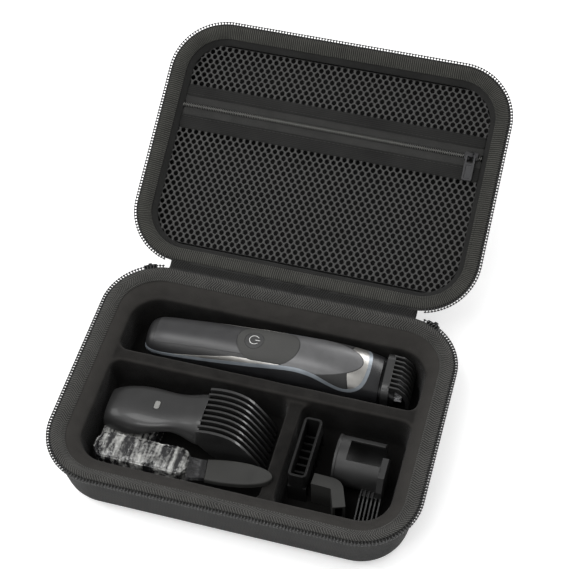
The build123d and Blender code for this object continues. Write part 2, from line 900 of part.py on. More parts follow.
with BuildPart() as skin:
    add(form_skin)
    add(form_under, mode=Mode.SUBTRACT)
    add(upper_side, mode=Mode.INTERSECT)
skin_shell = skin.part

with BuildPart() as indicator:
    add(skin_shell)
    with BuildSketch(trimmer_base.offset(inlay_floor)):
        with Locations((indicator_x, 0)):
            SlotOverall(indicator_length, indicator_width)
    extrude(amount=trimmer_length / 2, mode=Mode.INTERSECT)
finish(indicator.part, "indicator")

with BuildPart() as face_panel:
    add(skin_shell)
    add(plan_prism(panel_plan), mode=Mode.INTERSECT)
    add(indicator.part, mode=Mode.SUBTRACT)
finish(face_panel.part, "face_panel")

with BuildPart() as soft_pad:
    add(skin_shell)
    add(plan_prism(pad_plan), mode=Mode.INTERSECT)
    with BuildSketch(trimmer_base.offset(inlay_floor)):
        with Locations((button_x, 0)):
            Circle(button_radius + button_clearance)
    extrude(amount=trimmer_length / 2, mode=Mode.SUBTRACT)
finish(soft_pad.part, "soft_pad")

with BuildPart() as shoulder_panel:
    add(skin_shell)
    add(plan_prism(shoulder_plan), mode=Mode.INTERSECT)
    with BuildSketch(trimmer_base.offset(inlay_floor)):
        with Locations((pad_x, 0)):
            SlotOverall(pad_length + 2 * inlay_seam, pad_width + 2 * inlay_seam)
        with Locations((pad_x - pad_length, 0)):
            Rectangle(2 * pad_length, 2 * pad_width)
    extrude(amount=trimmer_length / 2, mode=Mode.SUBTRACT)
finish(shoulder_panel.part, "shoulder_panel")


def side_inlay(outline):
    """Thin inlays on both flanks, from an outline seen from the side."""
    with BuildPart() as inlay:
        add(skin_shell)
        with BuildSketch(trimmer_side):
            with BuildLine():
                Polyline(*outline, close=True)
            make_face()
        extrude(amount=trimmer_length, both=True, mode=Mode.INTERSECT)
        with BuildSketch(trimmer_base.offset(inlay_floor)):
            shoulder_plan(inlay_seam)
            pad_plan(inlay_seam)
            with Locations((face_start / 2, 0)):
                Rectangle(-face_start, pad_width)
        extrude(amount=trimmer_length / 2, mode=Mode.SUBTRACT)
    return inlay.part


side_accents = finish(side_inlay(accent_outline), "side_accents")
side_inserts = finish(side_inlay(insert_outline), "side_inserts")
neck_accent = finish(side_inlay(neck_outline), "neck_accent")
inlays = (
    face_panel.part,
    soft_pad.part,
    shoulder_panel.part,
    indicator.part,
    side_accents,
    side_inserts,
    neck_accent,
)

button_foot = trimmer_base.offset(button_low)
with BuildPart() as trimmer_cover:
    add(form_outer)
    add(form_cavity, mode=Mode.SUBTRACT)
    add(upper_side, mode=Mode.INTERSECT)
    for inlay in inlays:
        add(inlay, mode=Mode.SUBTRACT)
    with BuildSketch(trimmer_base.offset(inlay_floor)):
        with Locations((button_x, 0)):
            Circle(button_radius + button_clearance)
    extrude(amount=trimmer_length / 2, mode=Mode.SUBTRACT)
finish(trimmer_cover.part, "trimmer_cover")

with BuildPart() as trimmer_trim:
    add(form_skin)
    add(form_cavity, mode=Mode.SUBTRACT)
    add(upper_side, mode=Mode.SUBTRACT)
    add(lower_side, mode=Mode.SUBTRACT)
finish(trimmer_trim.part, "trimmer_trim")

with BuildPart() as power_button:
    add(form_skin)
    with BuildSketch(button_foot):
        with Locations((button_x, 0)):
            Circle(button_radius)
    extrude(amount=trimmer_length / 2, mode=Mode.INTERSECT)
    with BuildSketch(button_foot):
        with Locations((button_x, 0)):
            Circle(button_stem)
    extrude(amount=switch_top + button_travel + seat_gap - button_low)
finish(power_button.part, "power_button")

# Inside the trimmer
with BuildPart() as chassis:
    add(trimmer_form(trimmer_wall + fit_gap))
    with BuildSketch(trimmer_base.offset(chassis_z)):
        with Locations(((chassis_start + chassis_end) / 2, 0)):
            Rectangle(chassis_end - chassis_start, trimmer_length)
    extrude(amount=chassis_thickness, mode=Mode.INTERSECT)
finish(chassis.part, "chassis")

with BuildPart() as circuit_board:
    with BuildSketch(trimmer_base.offset(chassis_z + chassis_thickness)):
        with Locations(((board_start + board_end) / 2, 0)):
            RectangleRounded(board_end - board_start, board_width, board_corner)
    extrude(amount=board_thickness)
    with BuildSketch(trimmer_base.offset(chassis_z + chassis_thickness + board_thickness)):
        with Locations((button_x, 0)):
            Rectangle(switch_size, switch_size)
        with Locations((indicator_x, 0)):
            Rectangle(indicator_length, indicator_width)
    extrude(amount=switch_top - chassis_z - chassis_thickness - board_thickness)
finish(circuit_board.part, "circuit_board")

with BuildPart() as battery:
    with BuildSketch(across(battery_start)):
        with Locations((0, battery_z)):
            Circle(battery_radius)
    extrude(amount=battery_length)
    with BuildSketch(across(battery_start + battery_length)):
        with Locations((0, battery_z)):
            Circle(battery_radius / 3)
    extrude(amount=battery_cap)
finish(battery.part, "battery")

with BuildPart() as motor:
    with BuildSketch(across(motor_start)):
        with Locations((0, drive_z)):
            Circle(motor_radius)
    extrude(amount=motor_length)
    with BuildSketch(across(motor_start + motor_length)):
        with Locations((0, drive_z)):
            Circle(motor_radius / 3)
    extrude(amount=motor_nose)
finish(motor.part, "motor")

eccentric_start = motor_start + motor_length + motor_nose + fit_gap
with BuildPart() as drive_eccentric:
    with BuildSketch(across(eccentric_start)):
        with Locations((0, drive_z)):
            Circle(eccentric_radius)
    extrude(amount=eccentric_length)
    with BuildSketch(across(eccentric_start + eccentric_length)):
        with Locations((0, drive_z + eccentric_throw)):
            Circle(eccentric_pin)
    extrude(amount=eccentric_pin_length)
finish(drive_eccentric.part, "drive_eccentric")

with BuildPart() as charging_socket:
    with BuildSketch(across(trimmer_stations[0][0])):
        with Locations((0, socket_z)):
            RectangleRounded(socket_width, socket_height, socket_corner)
    extrude(amount=socket_depth)
    with BuildSketch(across(trimmer_stations[0][0])):
        with Locations((0, socket_z)):
            SlotOverall(socket_width - 2 * socket_wall, socket_height - 2 * socket_wall)
    extrude(amount=socket_depth - 2 * socket_wall, mode=Mode.SUBTRACT)
finish(charging_socket.part, "charging_socket")

nose_x = trimmer_stations[-1][0]
with BuildPart() as trimmer_housing:
    add(form_outer)
    add(form_cavity, mode=Mode.SUBTRACT)
    add(lower_side, mode=Mode.INTERSECT)
    with BuildSketch(across(trimmer_stations[0][0])):
        with Locations((0, socket_z)):
            RectangleRounded(socket_width, socket_height, socket_corner)
    extrude(amount=socket_depth, mode=Mode.SUBTRACT)
    with BuildSketch(across(nose_x + 1)):
        with Locations((0, blade_z)):
            Rectangle(2 * yoke_channel, 2 * yoke_channel)
    extrude(amount=-2 * trimmer_wall, mode=Mode.SUBTRACT)
finish(trimmer_housing.part, "trimmer_housing")

# Head and blades
head_back = nose_x + fit_gap
with BuildPart() as trimmer_head:
    with BuildSketch(across(head_back)):
        with Locations((0, head_z)):
            RectangleRounded(head_width, head_height, head_corner)
    with BuildSketch(across(head_back + head_length)):
        with Locations((0, blade_z)):
            RectangleRounded(head_width, lip_height, lip_corner)
    loft()
    with BuildSketch(across(head_back)):
        with Locations((0, blade_z)):
            Rectangle(fixed_blade_width + 2 * fit_gap, blade_slot)
            Rectangle(2 * yoke_channel, 2 * yoke_channel - blade_slot)
    extrude(amount=head_length, mode=Mode.SUBTRACT)
finish(trimmer_head.part, "trimmer_head")

blade_tip = head_back + head_length + blade_reach


def blade(low, thickness, width, back, tip, tooth_count):
    """Toothed cutting plate."""
    pitch = width / tooth_count
    with BuildPart() as plate:
        with BuildSketch(trimmer_base.offset(low)):
            with Locations(((back + tip) / 2, 0)):
                Rectangle(tip - back, width)
            with Locations((tip, 0)):
                with GridLocations(0, pitch, 1, tooth_count - 1):
                    Rectangle(2 * blade_tooth_length, pitch / 2, mode=Mode.SUBTRACT)
        extrude(amount=thickness)
    return plate.part


slot_low = blade_z - blade_slot / 2
finish(
    blade(
        slot_low,
        fixed_blade_thickness,
        fixed_blade_width,
        head_back + blade_tooth_length,
        blade_tip,
        fixed_teeth,
    ),
    "fixed_blade",
)
moving_low = slot_low + fixed_blade_thickness + blade_gap
yoke_start = eccentric_start + eccentric_length + fit_gap
with BuildPart() as moving_blade:
    add(
        blade(
            moving_low,
            moving_blade_thickness,
            fixed_blade_width - 2 * eccentric_throw - 2 * fit_gap,
            head_back + blade_tooth_length,
            blade_tip - blade_setback,
            moving_teeth,
        )
    )
    with BuildSketch(trimmer_base.offset(moving_low)):
        with Locations(((yoke_start + head_back + 2 * blade_tooth_length) / 2, 0)):
            Rectangle(head_back + 2 * blade_tooth_length - yoke_start, yoke_width)
    extrude(amount=moving_blade_thickness)
    with BuildSketch(trimmer_base.offset(moving_low)):
        with Locations((yoke_start + eccentric_pin_length / 2, 0)):
            Rectangle(eccentric_pin_length, yoke_width)
            # the slot clears the pin's whole turn, so that each piece also moves alone
            slot_width = 2 * (eccentric_pin + eccentric_throw + pin_gap)
            Rectangle(eccentric_pin_length, slot_width, mode=Mode.SUBTRACT)
    extrude(amount=drive_z - eccentric_pin - moving_low)
finish(moving_blade.part, "moving_blade")

# Slim comb pushed on to the head
ring_back = head_back + ring_setback
with BuildPart() as slim_comb:
    with BuildSketch(across(ring_back)):
        with Locations((0, head_z)):
            RectangleRounded(ring_width, ring_height, ring_corner)
            RectangleRounded(
                head_width + 2 * ring_side_gap,
                head_height + 2 * ring_top_gap,
                ring_corner - ring_wall,
                mode=Mode.SUBTRACT,
            )
    extrude(amount=ring_length)
    for index in range(slim_plates):
        along = slim_pitch * (index - (slim_plates - 1) / 2)
        plate_side = Plane(
            origin=trimmer_base.from_local_coords(
                (ring_back + ring_length, along + slim_thickness / 2, head_z)
            ),
            x_dir=trimmer_base.x_dir,
            z_dir=-trimmer_base.y_dir,
        )
        with BuildSketch(plate_side):
            with BuildLine():
                Polyline(*slim_outline, close=True)
            make_face()
        extrude(amount=slim_thickness)
finish(slim_comb.part, "slim_comb")


# Clear bag in the left bay, under the long comb, with a spare comb sealed in it
bag_floor = floor_z + seat_gap


def bag_form(inset):
    """Low pouch: full height along the front, pressed flat under the comb's hood."""
    with BuildPart() as pouch:
        with BuildSketch(Plane.XY.offset(bag_floor + inset)):
            with Locations(((bag_left + bag_right) / 2, (bag_front + bag_middle) / 2)):
                RectangleRounded(
                    bag_right - bag_left - 2 * inset, bag_middle - bag_front - 2 * inset, bag_corner - inset
                )
        extrude(amount=bag_height - 2 * inset)
        fillet(pouch.faces().sort_by(Axis.Z)[-1].edges(), bag_edge - inset)
        with BuildSketch(Plane.XY.offset(bag_floor + inset)):
            with Locations(((bag_left + bag_step) / 2, (bag_front + bag_back) / 2)):
                RectangleRounded(
                    bag_step - bag_left - 2 * inset, bag_back - bag_front - 2 * inset, bag_corner - inset
                )
        extrude(amount=bag_low_height - 2 * inset)
    return pouch.part


with BuildPart() as accessory_bag:
    add(bag_form(0))
    add(bag_form(bag_wall), mode=Mode.SUBTRACT)
finish(accessory_bag.part, "accessory_bag")

with BuildPart() as spare_comb:
    with BuildSketch(Plane.XY.offset(bag_floor + bag_wall + seat_gap)):
        with Locations((spare_x, spare_y)):
            RectangleRounded(spare_length, spare_width, spare_corner)
            Rectangle(spare_length - 2 * spare_rail, spare_width - 2 * spare_rail, mode=Mode.SUBTRACT)
            with GridLocations(spare_pitch, 0, spare_plates, 1):
                Rectangle(spare_thickness, spare_width - spare_rail)
    extrude(amount=spare_height)
finish(spare_comb.part, "spare_comb")

# Long comb: an arched hood, two side walls and thin guide plates that curve down to the tips


def hood_form(inset):
    """The hood's arch, lofted along the comb; inset makes its hollow, open below."""
    sections = []
    for x, half_width, top, low in hood_stations:
        plane = Plane(origin=base_rim.origin + Vector(x, comb_y, 0), x_dir=(0, 1, 0), z_dir=(1, 0, 0))
        half = half_width - inset
        crown = top - inset
        foot = low - 2 * inset
        with BuildSketch(plane) as arch:
            with BuildLine():
                for side in (-1, 1):
                    Bezier(
                        (side * half, foot),
                        (side * half, foot + (crown - foot) * hood_fullness),
                        (side * half * oval_fullness, crown),
                        (0, crown),
                    )
                Line((-half, foot), (half, foot))
            make_face()
        sections.append(arch.sketch.face())
    with BuildPart() as hood:
        loft(sections=sections)
    return hood.part


with BuildPart() as beard_comb:
    add(hood_form(0))
    add(hood_form(comb_wall), mode=Mode.SUBTRACT)
    with BuildSketch(Plane.XY.offset(base_height + lock_low)):
        with Locations((comb_lock_x, comb_y)):
            RectangleRounded(lock_length + 2 * fit_gap, lock_width + 2 * fit_gap, lock_corner)
    extrude(amount=lock_height, mode=Mode.SUBTRACT)
    for index in range(comb_plates + 2):
        is_wall = index in (0, comb_plates + 1)
        thickness = comb_wall if is_wall else comb_thickness
        span = 2 * comb_half_width - comb_wall
        y = comb_y - span / 2 + span * index / (comb_plates + 1)
        side = Plane(origin=(0, y + thickness / 2, base_height), x_dir=(1, 0, 0), z_dir=(0, -1, 0))
        lower = wall_lower if is_wall else plate_lower
        with BuildSketch(side):
            with BuildLine():
                Spline(*plate_upper)
                Polyline(plate_upper[-1], *lower, plate_upper[0])
            make_face()
        extrude(amount=thickness)
finish(beard_comb.part, "beard_comb")

with BuildPart() as comb_lock_button:
    with BuildSketch(Plane.XY.offset(base_height + lock_low)):
        with Locations((comb_lock_x, comb_y)):
            RectangleRounded(lock_length, lock_width, lock_corner)
    extrude(amount=lock_height)
    fillet(comb_lock_button.faces().sort_by(Axis.Z)[-1].edges(), lock_corner / 2)
finish(comb_lock_button.part, "comb_lock_button")

# Cleaning brush: a leaf-shaped handle and its bristles
brush_plane = Plane(
    origin=(brush_tip, brush_y, base_height + brush_low),
    x_dir=(cos(radians(brush_yaw)), sin(radians(brush_yaw)), 0),
    z_dir=(0, 0, 1),
)
root_x = brush_root - brush_tip
belly_x = brush_belly - brush_tip
with BuildPart() as brush_handle:
    with BuildSketch(brush_plane):
        with BuildLine():
            Line((root_x, -brush_half_width), (root_x, brush_half_width))
            for side in (-1, 1):
                Bezier(
                    (root_x, side * brush_half_width),
                    (belly_x, side * brush_half_width * brush_swell),
                    (0, side * brush_half_width),
                    (0, 0),
                )
        make_face()
    extrude(amount=brush_thickness)
    fillet(brush_handle.faces().sort_by(Axis.Z)[-1].edges(), brush_edge)
finish(brush_handle.part, "brush_handle")

tuft_side = Plane(
    origin=brush_plane.from_local_coords((root_x, 0, brush_thickness / 2)),
    x_dir=-brush_plane.y_dir,
    z_dir=-brush_plane.x_dir,
)
with BuildPart() as brush_bristles:
    with BuildSketch(tuft_side):
        Rectangle(2 * (brush_half_width - tuft_margin), brush_thickness)
    extrude(amount=tuft_backing)
    with BuildSketch(tuft_side.offset(tuft_backing)):
        with GridLocations(tuft_pitch_y, tuft_pitch_z, tuft_columns, tuft_rows):
            Rectangle(tuft_strand, tuft_strand)
    extrude(amount=tuft_length)
finish(brush_bristles.part, "brush_bristles")

# Right bay: three spare combs, each standing by itself
bay_floor = floor_z + seat_gap
short_plane = Plane.XY.offset(bay_floor)
with BuildPart() as short_comb:
    with BuildSketch(short_plane.offset(short_height - short_collar)):
        with Locations((short_x, short_y)):
            RectangleRounded(short_width, short_length, short_corner)
            RectangleRounded(
                short_width - 2 * short_wall, short_length - 2 * short_wall, short_corner - short_wall,
                mode=Mode.SUBTRACT,
            )
    extrude(amount=short_collar)
    with BuildSketch(short_plane):
        with Locations((short_x, short_y)):
            with GridLocations(0, (short_length - short_thickness) / (short_plates - 1), 1, short_plates):
                Rectangle(short_width, short_thickness)
    extrude(amount=short_height - short_collar)
    with BuildSketch(short_plane.offset(short_height - short_collar)):
        with Locations((short_x - short_width / 2 + short_wall / 2, short_y)):
            Rectangle(short_wall, short_length)
        with Locations((short_x + short_width / 2 - short_wall / 2, short_y)):
            Rectangle(short_wall, short_length)
    extrude(amount=-short_wall)
    fillet(short_comb.faces().sort_by(Axis.Z)[-1].edges(), short_wall / 4)
finish(short_comb.part, "short_comb")

with BuildPart() as wide_comb:
    with BuildSketch(short_plane):
        with BuildLine() as wide_path:
            FilletPolyline(*wide_route, radius=wide_bend)
        trace(wide_path.line, wide_width)
    extrude(amount=wide_height)
    with BuildSketch(short_plane):
        with BuildLine() as hollow_path:
            FilletPolyline(*wide_route, radius=wide_bend)
        trace(hollow_path.line, wide_width - 2 * wide_wall)
    extrude(amount=wide_height - wide_wall, mode=Mode.SUBTRACT)
finish(wide_comb.part, "wide_comb")

ring_centre_z = bay_floor + ring_lip_radius
ring_axis_plane = Plane(origin=(ring_left, ring_y, ring_centre_z), x_dir=(0, 1, 0), z_dir=(1, 0, 0))
with BuildPart() as ring_comb:
    with BuildSketch(ring_axis_plane):
        Circle(ring_lip_radius)
    extrude(amount=ring_lip)
    with BuildSketch(ring_axis_plane):
        Circle(ring_radius)
    extrude(amount=ring_tube)
    with BuildSketch(ring_axis_plane):
        Circle(ring_radius - ring_skin)
    extrude(amount=ring_tube, mode=Mode.SUBTRACT)
    with BuildSketch(Plane.XY.offset(ring_centre_z)):
        with Locations((ring_left + ring_tube, ring_y)):
            Rectangle(2 * ring_window, ring_window_width)
    extrude(amount=2 * ring_radius, mode=Mode.SUBTRACT)
    with BuildSketch(ring_axis_plane.offset(ring_tube)):
        with Locations((ring_plate_y - ring_y, ring_plate_z)):
            RegularPolygon(ring_plate_radius, 6)
            Rectangle(ring_plate_span, 4 * ring_plate_radius, mode=Mode.INTERSECT)
    extrude(amount=ring_plate)
    for index in range(ring_teeth):
        with BuildSketch(ring_axis_plane.offset(ring_tube + ring_plate - index * ring_tooth_pitch)):
            with BuildLine():
                Polyline(*ring_tooth_outline, close=True)
            make_face()
        extrude(amount=-ring_tooth)
    with BuildSketch(ring_axis_plane.offset(ring_tube + ring_plate)):
        with BuildLine():
            Polyline(*ring_spine_outline, close=True)
        make_face()
    extrude(amount=-(ring_teeth - 1) * ring_tooth_pitch - ring_tooth)
finish(ring_comb.part, "ring_comb")
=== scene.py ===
# %% [markdown]
# A zipped hard case for a hair trimmer, open on a table with its kit inside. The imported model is
# loaded first and stays fixed. Hard pieces keep their shape from it and get their finish here. Cloth,
# net, thread, bristles and film are modelled again, because a plain solid can't look like them.

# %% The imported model
import json
from math import cos, hypot, pi, radians, sin
from random import Random

import bmesh
import bpy
from mathutils import Matrix, Vector, noise


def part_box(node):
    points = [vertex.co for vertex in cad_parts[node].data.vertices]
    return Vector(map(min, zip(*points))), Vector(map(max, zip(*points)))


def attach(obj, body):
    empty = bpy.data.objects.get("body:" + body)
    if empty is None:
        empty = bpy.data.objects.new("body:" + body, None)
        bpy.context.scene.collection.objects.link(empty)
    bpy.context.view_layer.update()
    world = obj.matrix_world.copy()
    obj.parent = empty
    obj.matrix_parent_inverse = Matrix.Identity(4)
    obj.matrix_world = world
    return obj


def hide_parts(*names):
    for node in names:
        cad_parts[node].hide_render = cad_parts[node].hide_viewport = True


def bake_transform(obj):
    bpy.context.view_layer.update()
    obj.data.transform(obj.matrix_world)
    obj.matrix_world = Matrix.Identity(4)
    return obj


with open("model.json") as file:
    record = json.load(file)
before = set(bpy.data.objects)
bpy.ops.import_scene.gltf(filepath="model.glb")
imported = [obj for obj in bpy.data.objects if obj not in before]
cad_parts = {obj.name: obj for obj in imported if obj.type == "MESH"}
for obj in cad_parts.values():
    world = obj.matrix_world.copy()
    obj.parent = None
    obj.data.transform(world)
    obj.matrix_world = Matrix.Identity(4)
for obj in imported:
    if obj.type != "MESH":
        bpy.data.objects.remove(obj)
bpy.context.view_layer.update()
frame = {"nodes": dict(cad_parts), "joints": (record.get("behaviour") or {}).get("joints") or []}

nodes = frame["nodes"]

# %% [markdown]
# The two halves are drawn in the same way, each from the plane where they meet. So every point is
# given once, across the rim, away from the hinge and up from that plane, and one function per half
# puts it in the room. The sizes are read from the model where it has them.

# %% Places on the rim
MM = 0.001
hinge = next(j for j in frame["joints"] if j["name"] == "lid_hinge")
hinge_y, base_height = hinge["pos_m"][1], hinge["pos_m"][2]
lean = radians(180.0 + hinge["range_deg"][0])
shell_low, shell_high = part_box("base_shell")
rim_width = shell_high.x - shell_low.x
rim_depth = shell_high.y - shell_low.y
rim_radius = 37.5 * MM


def base_place(x, out, up):
    """A point of the lower half: out runs from the middle to the front, up from the rim plane."""
    return Vector((x, -out, base_height + up))


def lid_place(x, out, up):
    """The same point of the upper half, which leans back on the hinge."""
    reach = out + hinge_y
    return Vector((
        x,
        hinge_y + reach * cos(lean) - up * sin(lean),
        base_height + reach * sin(lean) + up * cos(lean),
    ))


def lid_reach(name):
    """Lowest and highest (x, out, up) of a piece in the lid."""
    spots = []
    for vertex in nodes[name].data.vertices:
        y = vertex.co.y - hinge_y
        z = vertex.co.z - base_height
        spots.append((vertex.co.x, y * cos(lean) + z * sin(lean) - hinge_y, z * cos(lean) - y * sin(lean)))
    return [min(part) for part in zip(*spots)], [max(part) for part in zip(*spots)]


halves = (("base", base_place), ("lid", lid_place))
print("rim", round(rim_width / MM, 1), "by", round(rim_depth / MM, 1), "mm; lid leans", round(lean, 3))

# %% [markdown]
# The camera stands where the photograph was taken from. It was found from the corners of the rim and
# the bays, so the model and the picture share one view. The picture is slightly rolled.

# %% Camera
view_target = Vector((-5.5, 92.28, 45.0)) * MM
view_distance = 1059.2 * MM
view_azimuth = radians(16.94)
view_elevation = radians(52.03)
view_roll = radians(-1.885)

back = Vector((
    sin(view_azimuth) * cos(view_elevation),
    -cos(view_azimuth) * cos(view_elevation),
    sin(view_elevation),
))
right = Vector((cos(view_azimuth), sin(view_azimuth), 0.0))
up = back.cross(right)
rolled_right = right * cos(view_roll) + up * sin(view_roll)
rolled_up = up * cos(view_roll) - right * sin(view_roll)
camera_data = bpy.data.cameras.new("camera")
camera_data.lens = 98.24
camera_data.sensor_width = 36.0
camera_data.clip_start = 0.05
camera_data.clip_end = 20.0
camera = bpy.data.objects.new("camera", camera_data)
bpy.context.scene.collection.objects.link(camera)
turn = Matrix((rolled_right, rolled_up, back)).transposed().to_4x4()
camera.matrix_world = Matrix.Translation(view_target + back * view_distance) @ turn
bpy.context.scene.camera = camera
print("camera at", [round(v, 3) for v in camera.location])

# %% [markdown]
# The object is nearly black, so what shapes it is soft light from large lamps. Cloth needs a low
# lamp that grazes it, and the trimmer's gloss needs a long bright shape to mirror. The room looks
# white to the camera but lights the object at half of that, so that black stays black.

# %% Light of the room
scene = bpy.context.scene
scene.view_settings.view_transform = "Standard"
world = bpy.data.worlds.new("studio")
scene.world = world
world.use_nodes = True
sky = world.node_tree.nodes["Background"]
paths = world.node_tree.nodes.new("ShaderNodeLightPath")
seen = world.node_tree.nodes.new("ShaderNodeMath")
seen.operation = "MAXIMUM"
level = world.node_tree.nodes.new("ShaderNodeMapRange")
ambient_level = 0.5
level.inputs["To Min"].default_value = ambient_level
level.inputs["To Max"].default_value = 1.0
sky.inputs["Color"].default_value = (1.0, 1.0, 1.0, 1.0)
world.node_tree.links.new(paths.outputs["Is Camera Ray"], seen.inputs[0])
world.node_tree.links.new(paths.outputs["Is Transmission Ray"], seen.inputs[1])
world.node_tree.links.new(seen.outputs[0], level.inputs["Value"])
world.node_tree.links.new(level.outputs["Result"], sky.inputs["Strength"])
print("the room lights the object at", ambient_level, "of white")

# %% Lamps


def soft_lamp(name, place, aim, size, watts):
    """A flat rectangular lamp that points at a spot on the object."""
    data = bpy.data.lights.new(name, "AREA")
    data.shape = "RECTANGLE"
    data.size, data.size_y = size
    data.energy = watts
    lamp = bpy.data.objects.new(name, data)
    scene.collection.objects.link(lamp)
    lamp.location = place
    lamp.rotation_euler = (Vector(aim) - Vector(place)).to_track_quat("-Z", "Y").to_euler()


aim = (0.0, 0.06, 0.04)
soft_lamp("lamp_above", (-0.3, -0.3, 1.15), aim, (0.9, 0.6), 8.0)
soft_lamp("lamp_left", (-1.1, -0.15, 0.55), aim, (0.7, 0.7), 5.0)
soft_lamp("lamp_back", (0.45, 1.15, 0.75), aim, (1.0, 0.4), 7.0)
soft_lamp("lamp_right", (1.05, 0.75, 0.32), aim, (0.5, 0.4), 7.0)
soft_lamp("lamp_front", (-0.3, -1.05, 0.8), aim, (0.6, 0.3), 3.5)
print(len(bpy.data.lights), "lamps")

# %% Table top
bpy.ops.mesh.primitive_plane_add(size=6.0, location=(0.0, 0.0, -0.0004))
table_top = bpy.context.object
table_top.name = "table_top"
print("table is", round(table_top.dimensions.x, 1), "m wide")

# %% [markdown]
# Finishes are built from a few small node helpers. A weave is two sets of fine waves across each
# other, at the real thread pitch. Its height goes to the bump and its shade to the colour, so it
# shows in dull light too. All sizes are in metres, because the object's own coordinates are.

# %% A material and its nodes


def new_finish(name, colour, roughness, metallic=0.0, **sockets):
    """A material with its Principled shader set; returns the material and the shader."""
    finish = bpy.data.materials.new(name)
    finish.use_nodes = True
    shader = finish.node_tree.nodes["Principled BSDF"]
    shader.inputs["Base Color"].default_value = (*colour, 1.0)
    shader.inputs["Roughness"].default_value = roughness
    shader.inputs["Metallic"].default_value = metallic
    for socket, value in sockets.items():
        shader.inputs[socket.replace("_", " ")].default_value = value
    return finish, shader


def add_node(finish, kind, **values):
    """One node; a value goes to the input or the setting of that name."""
    node = finish.node_tree.nodes.new(kind)
    for key, value in values.items():
        socket = key.replace("_", " ")
        if socket in node.inputs:
            node.inputs[socket].default_value = value
        else:
            setattr(node, key, value)
    return node


def link(finish, source, target):
    """Joins an output to an input."""
    finish.node_tree.links.new(source, target)


def place_coordinates(finish, along_piece=False):
    """Coordinates in metres: the piece's own length and width, or its place in the room."""
    source = add_node(finish, "ShaderNodeTexCoord")
    return source.outputs["UV" if along_piece else "Object"]


# %% Patterns


def waves(finish, coordinates, pitch, direction, turned=0.0):
    """Sine waves with a real pitch, 0 to 1."""
    mapping = add_node(finish, "ShaderNodeMapping")
    mapping.inputs["Rotation"].default_value = (0.0, 0.0, turned)
    texture = add_node(finish, "ShaderNodeTexWave", wave_type="BANDS", bands_direction=direction)
    texture.inputs["Scale"].default_value = pi / 10.0 / pitch
    link(finish, coordinates, mapping.inputs["Vector"])
    link(finish, mapping.outputs["Vector"], texture.inputs["Vector"])
    return texture.outputs["Fac"]


def speckle(finish, coordinates, size, detail=2.0):
    """Soft noise whose grains have a real size."""
    texture = add_node(finish, "ShaderNodeTexNoise", Detail=detail)
    texture.inputs["Scale"].default_value = 1.0 / size
    link(finish, coordinates, texture.inputs["Vector"])
    return texture.outputs["Fac"]


# %% Sums on values


def combine(finish, operation, first, second):
    """A product, a difference or another simple operation on two values."""
    node = add_node(finish, "ShaderNodeMath", operation=operation)
    for index, value in enumerate((first, second)):
        if isinstance(value, (int, float)):
            node.inputs[index].default_value = value
        else:
            link(finish, value, node.inputs[index])
    return node.outputs[0]


def weighted(finish, *parts):
    """Sum of (value, weight) parts."""
    total = None
    for value, weight in parts:
        part = value if weight == 1 else combine(finish, "MULTIPLY", value, weight)
        total = part if total is None else combine(finish, "ADD", total, part)
    return total


def sine(finish, distance, pitch):
    """Waves from -1 to 1 along a distance."""
    return combine(finish, "SINE", combine(finish, "MULTIPLY", distance, 2 * pi / pitch), 0.0)


def spread(finish, value, low, high, darkest=0.0, lightest=1.0):
    """Carries a value from one range to another."""
    node = add_node(finish, "ShaderNodeMapRange")
    link(finish, value, node.inputs["Value"])
    node.inputs["From Min"].default_value = low
    node.inputs["From Max"].default_value = high
    node.inputs["To Min"].default_value = darkest
    node.inputs["To Max"].default_value = lightest
    return node.outputs["Result"]


# %% Colour and bump


def shade_with(finish, shader, value, dark, light):
    """Colour between two shades, by a value."""
    node = add_node(finish, "ShaderNodeMix", data_type="RGBA")
    node.inputs[6].default_value = (*dark, 1.0)
    node.inputs[7].default_value = (*light, 1.0)
    link(finish, value, node.inputs[0])
    link(finish, node.outputs[2], shader.inputs["Base Color"])


def raise_with(finish, shader, value, depth, edge_radius=0.0):
    """Bump of a real depth, in metres; an edge radius rounds crisp edges in the light."""
    bump = add_node(finish, "ShaderNodeBump")
    bump.inputs["Distance"].default_value = depth
    if edge_radius:
        edge = add_node(finish, "ShaderNodeBevel", samples=4, Radius=edge_radius)
        link(finish, edge.outputs["Normal"], bump.inputs["Normal"])
    link(finish, value, bump.inputs["Height"])
    link(finish, bump.outputs["Normal"], shader.inputs["Normal"])


def facing(finish, direction, low, high):
    """0 to 1 as the surface turns towards a direction of the object's own frame."""
    source = add_node(finish, "ShaderNodeTexCoord")
    dot = add_node(finish, "ShaderNodeVectorMath", operation="DOT_PRODUCT")
    dot.inputs[1].default_value = direction
    link(finish, source.outputs["Normal"], dot.inputs[0])
    return spread(finish, dot.outputs["Value"], low, high)


def tint(colour, factor):
    """The same colour, darker or lighter."""
    return tuple(part * factor for part in colour)
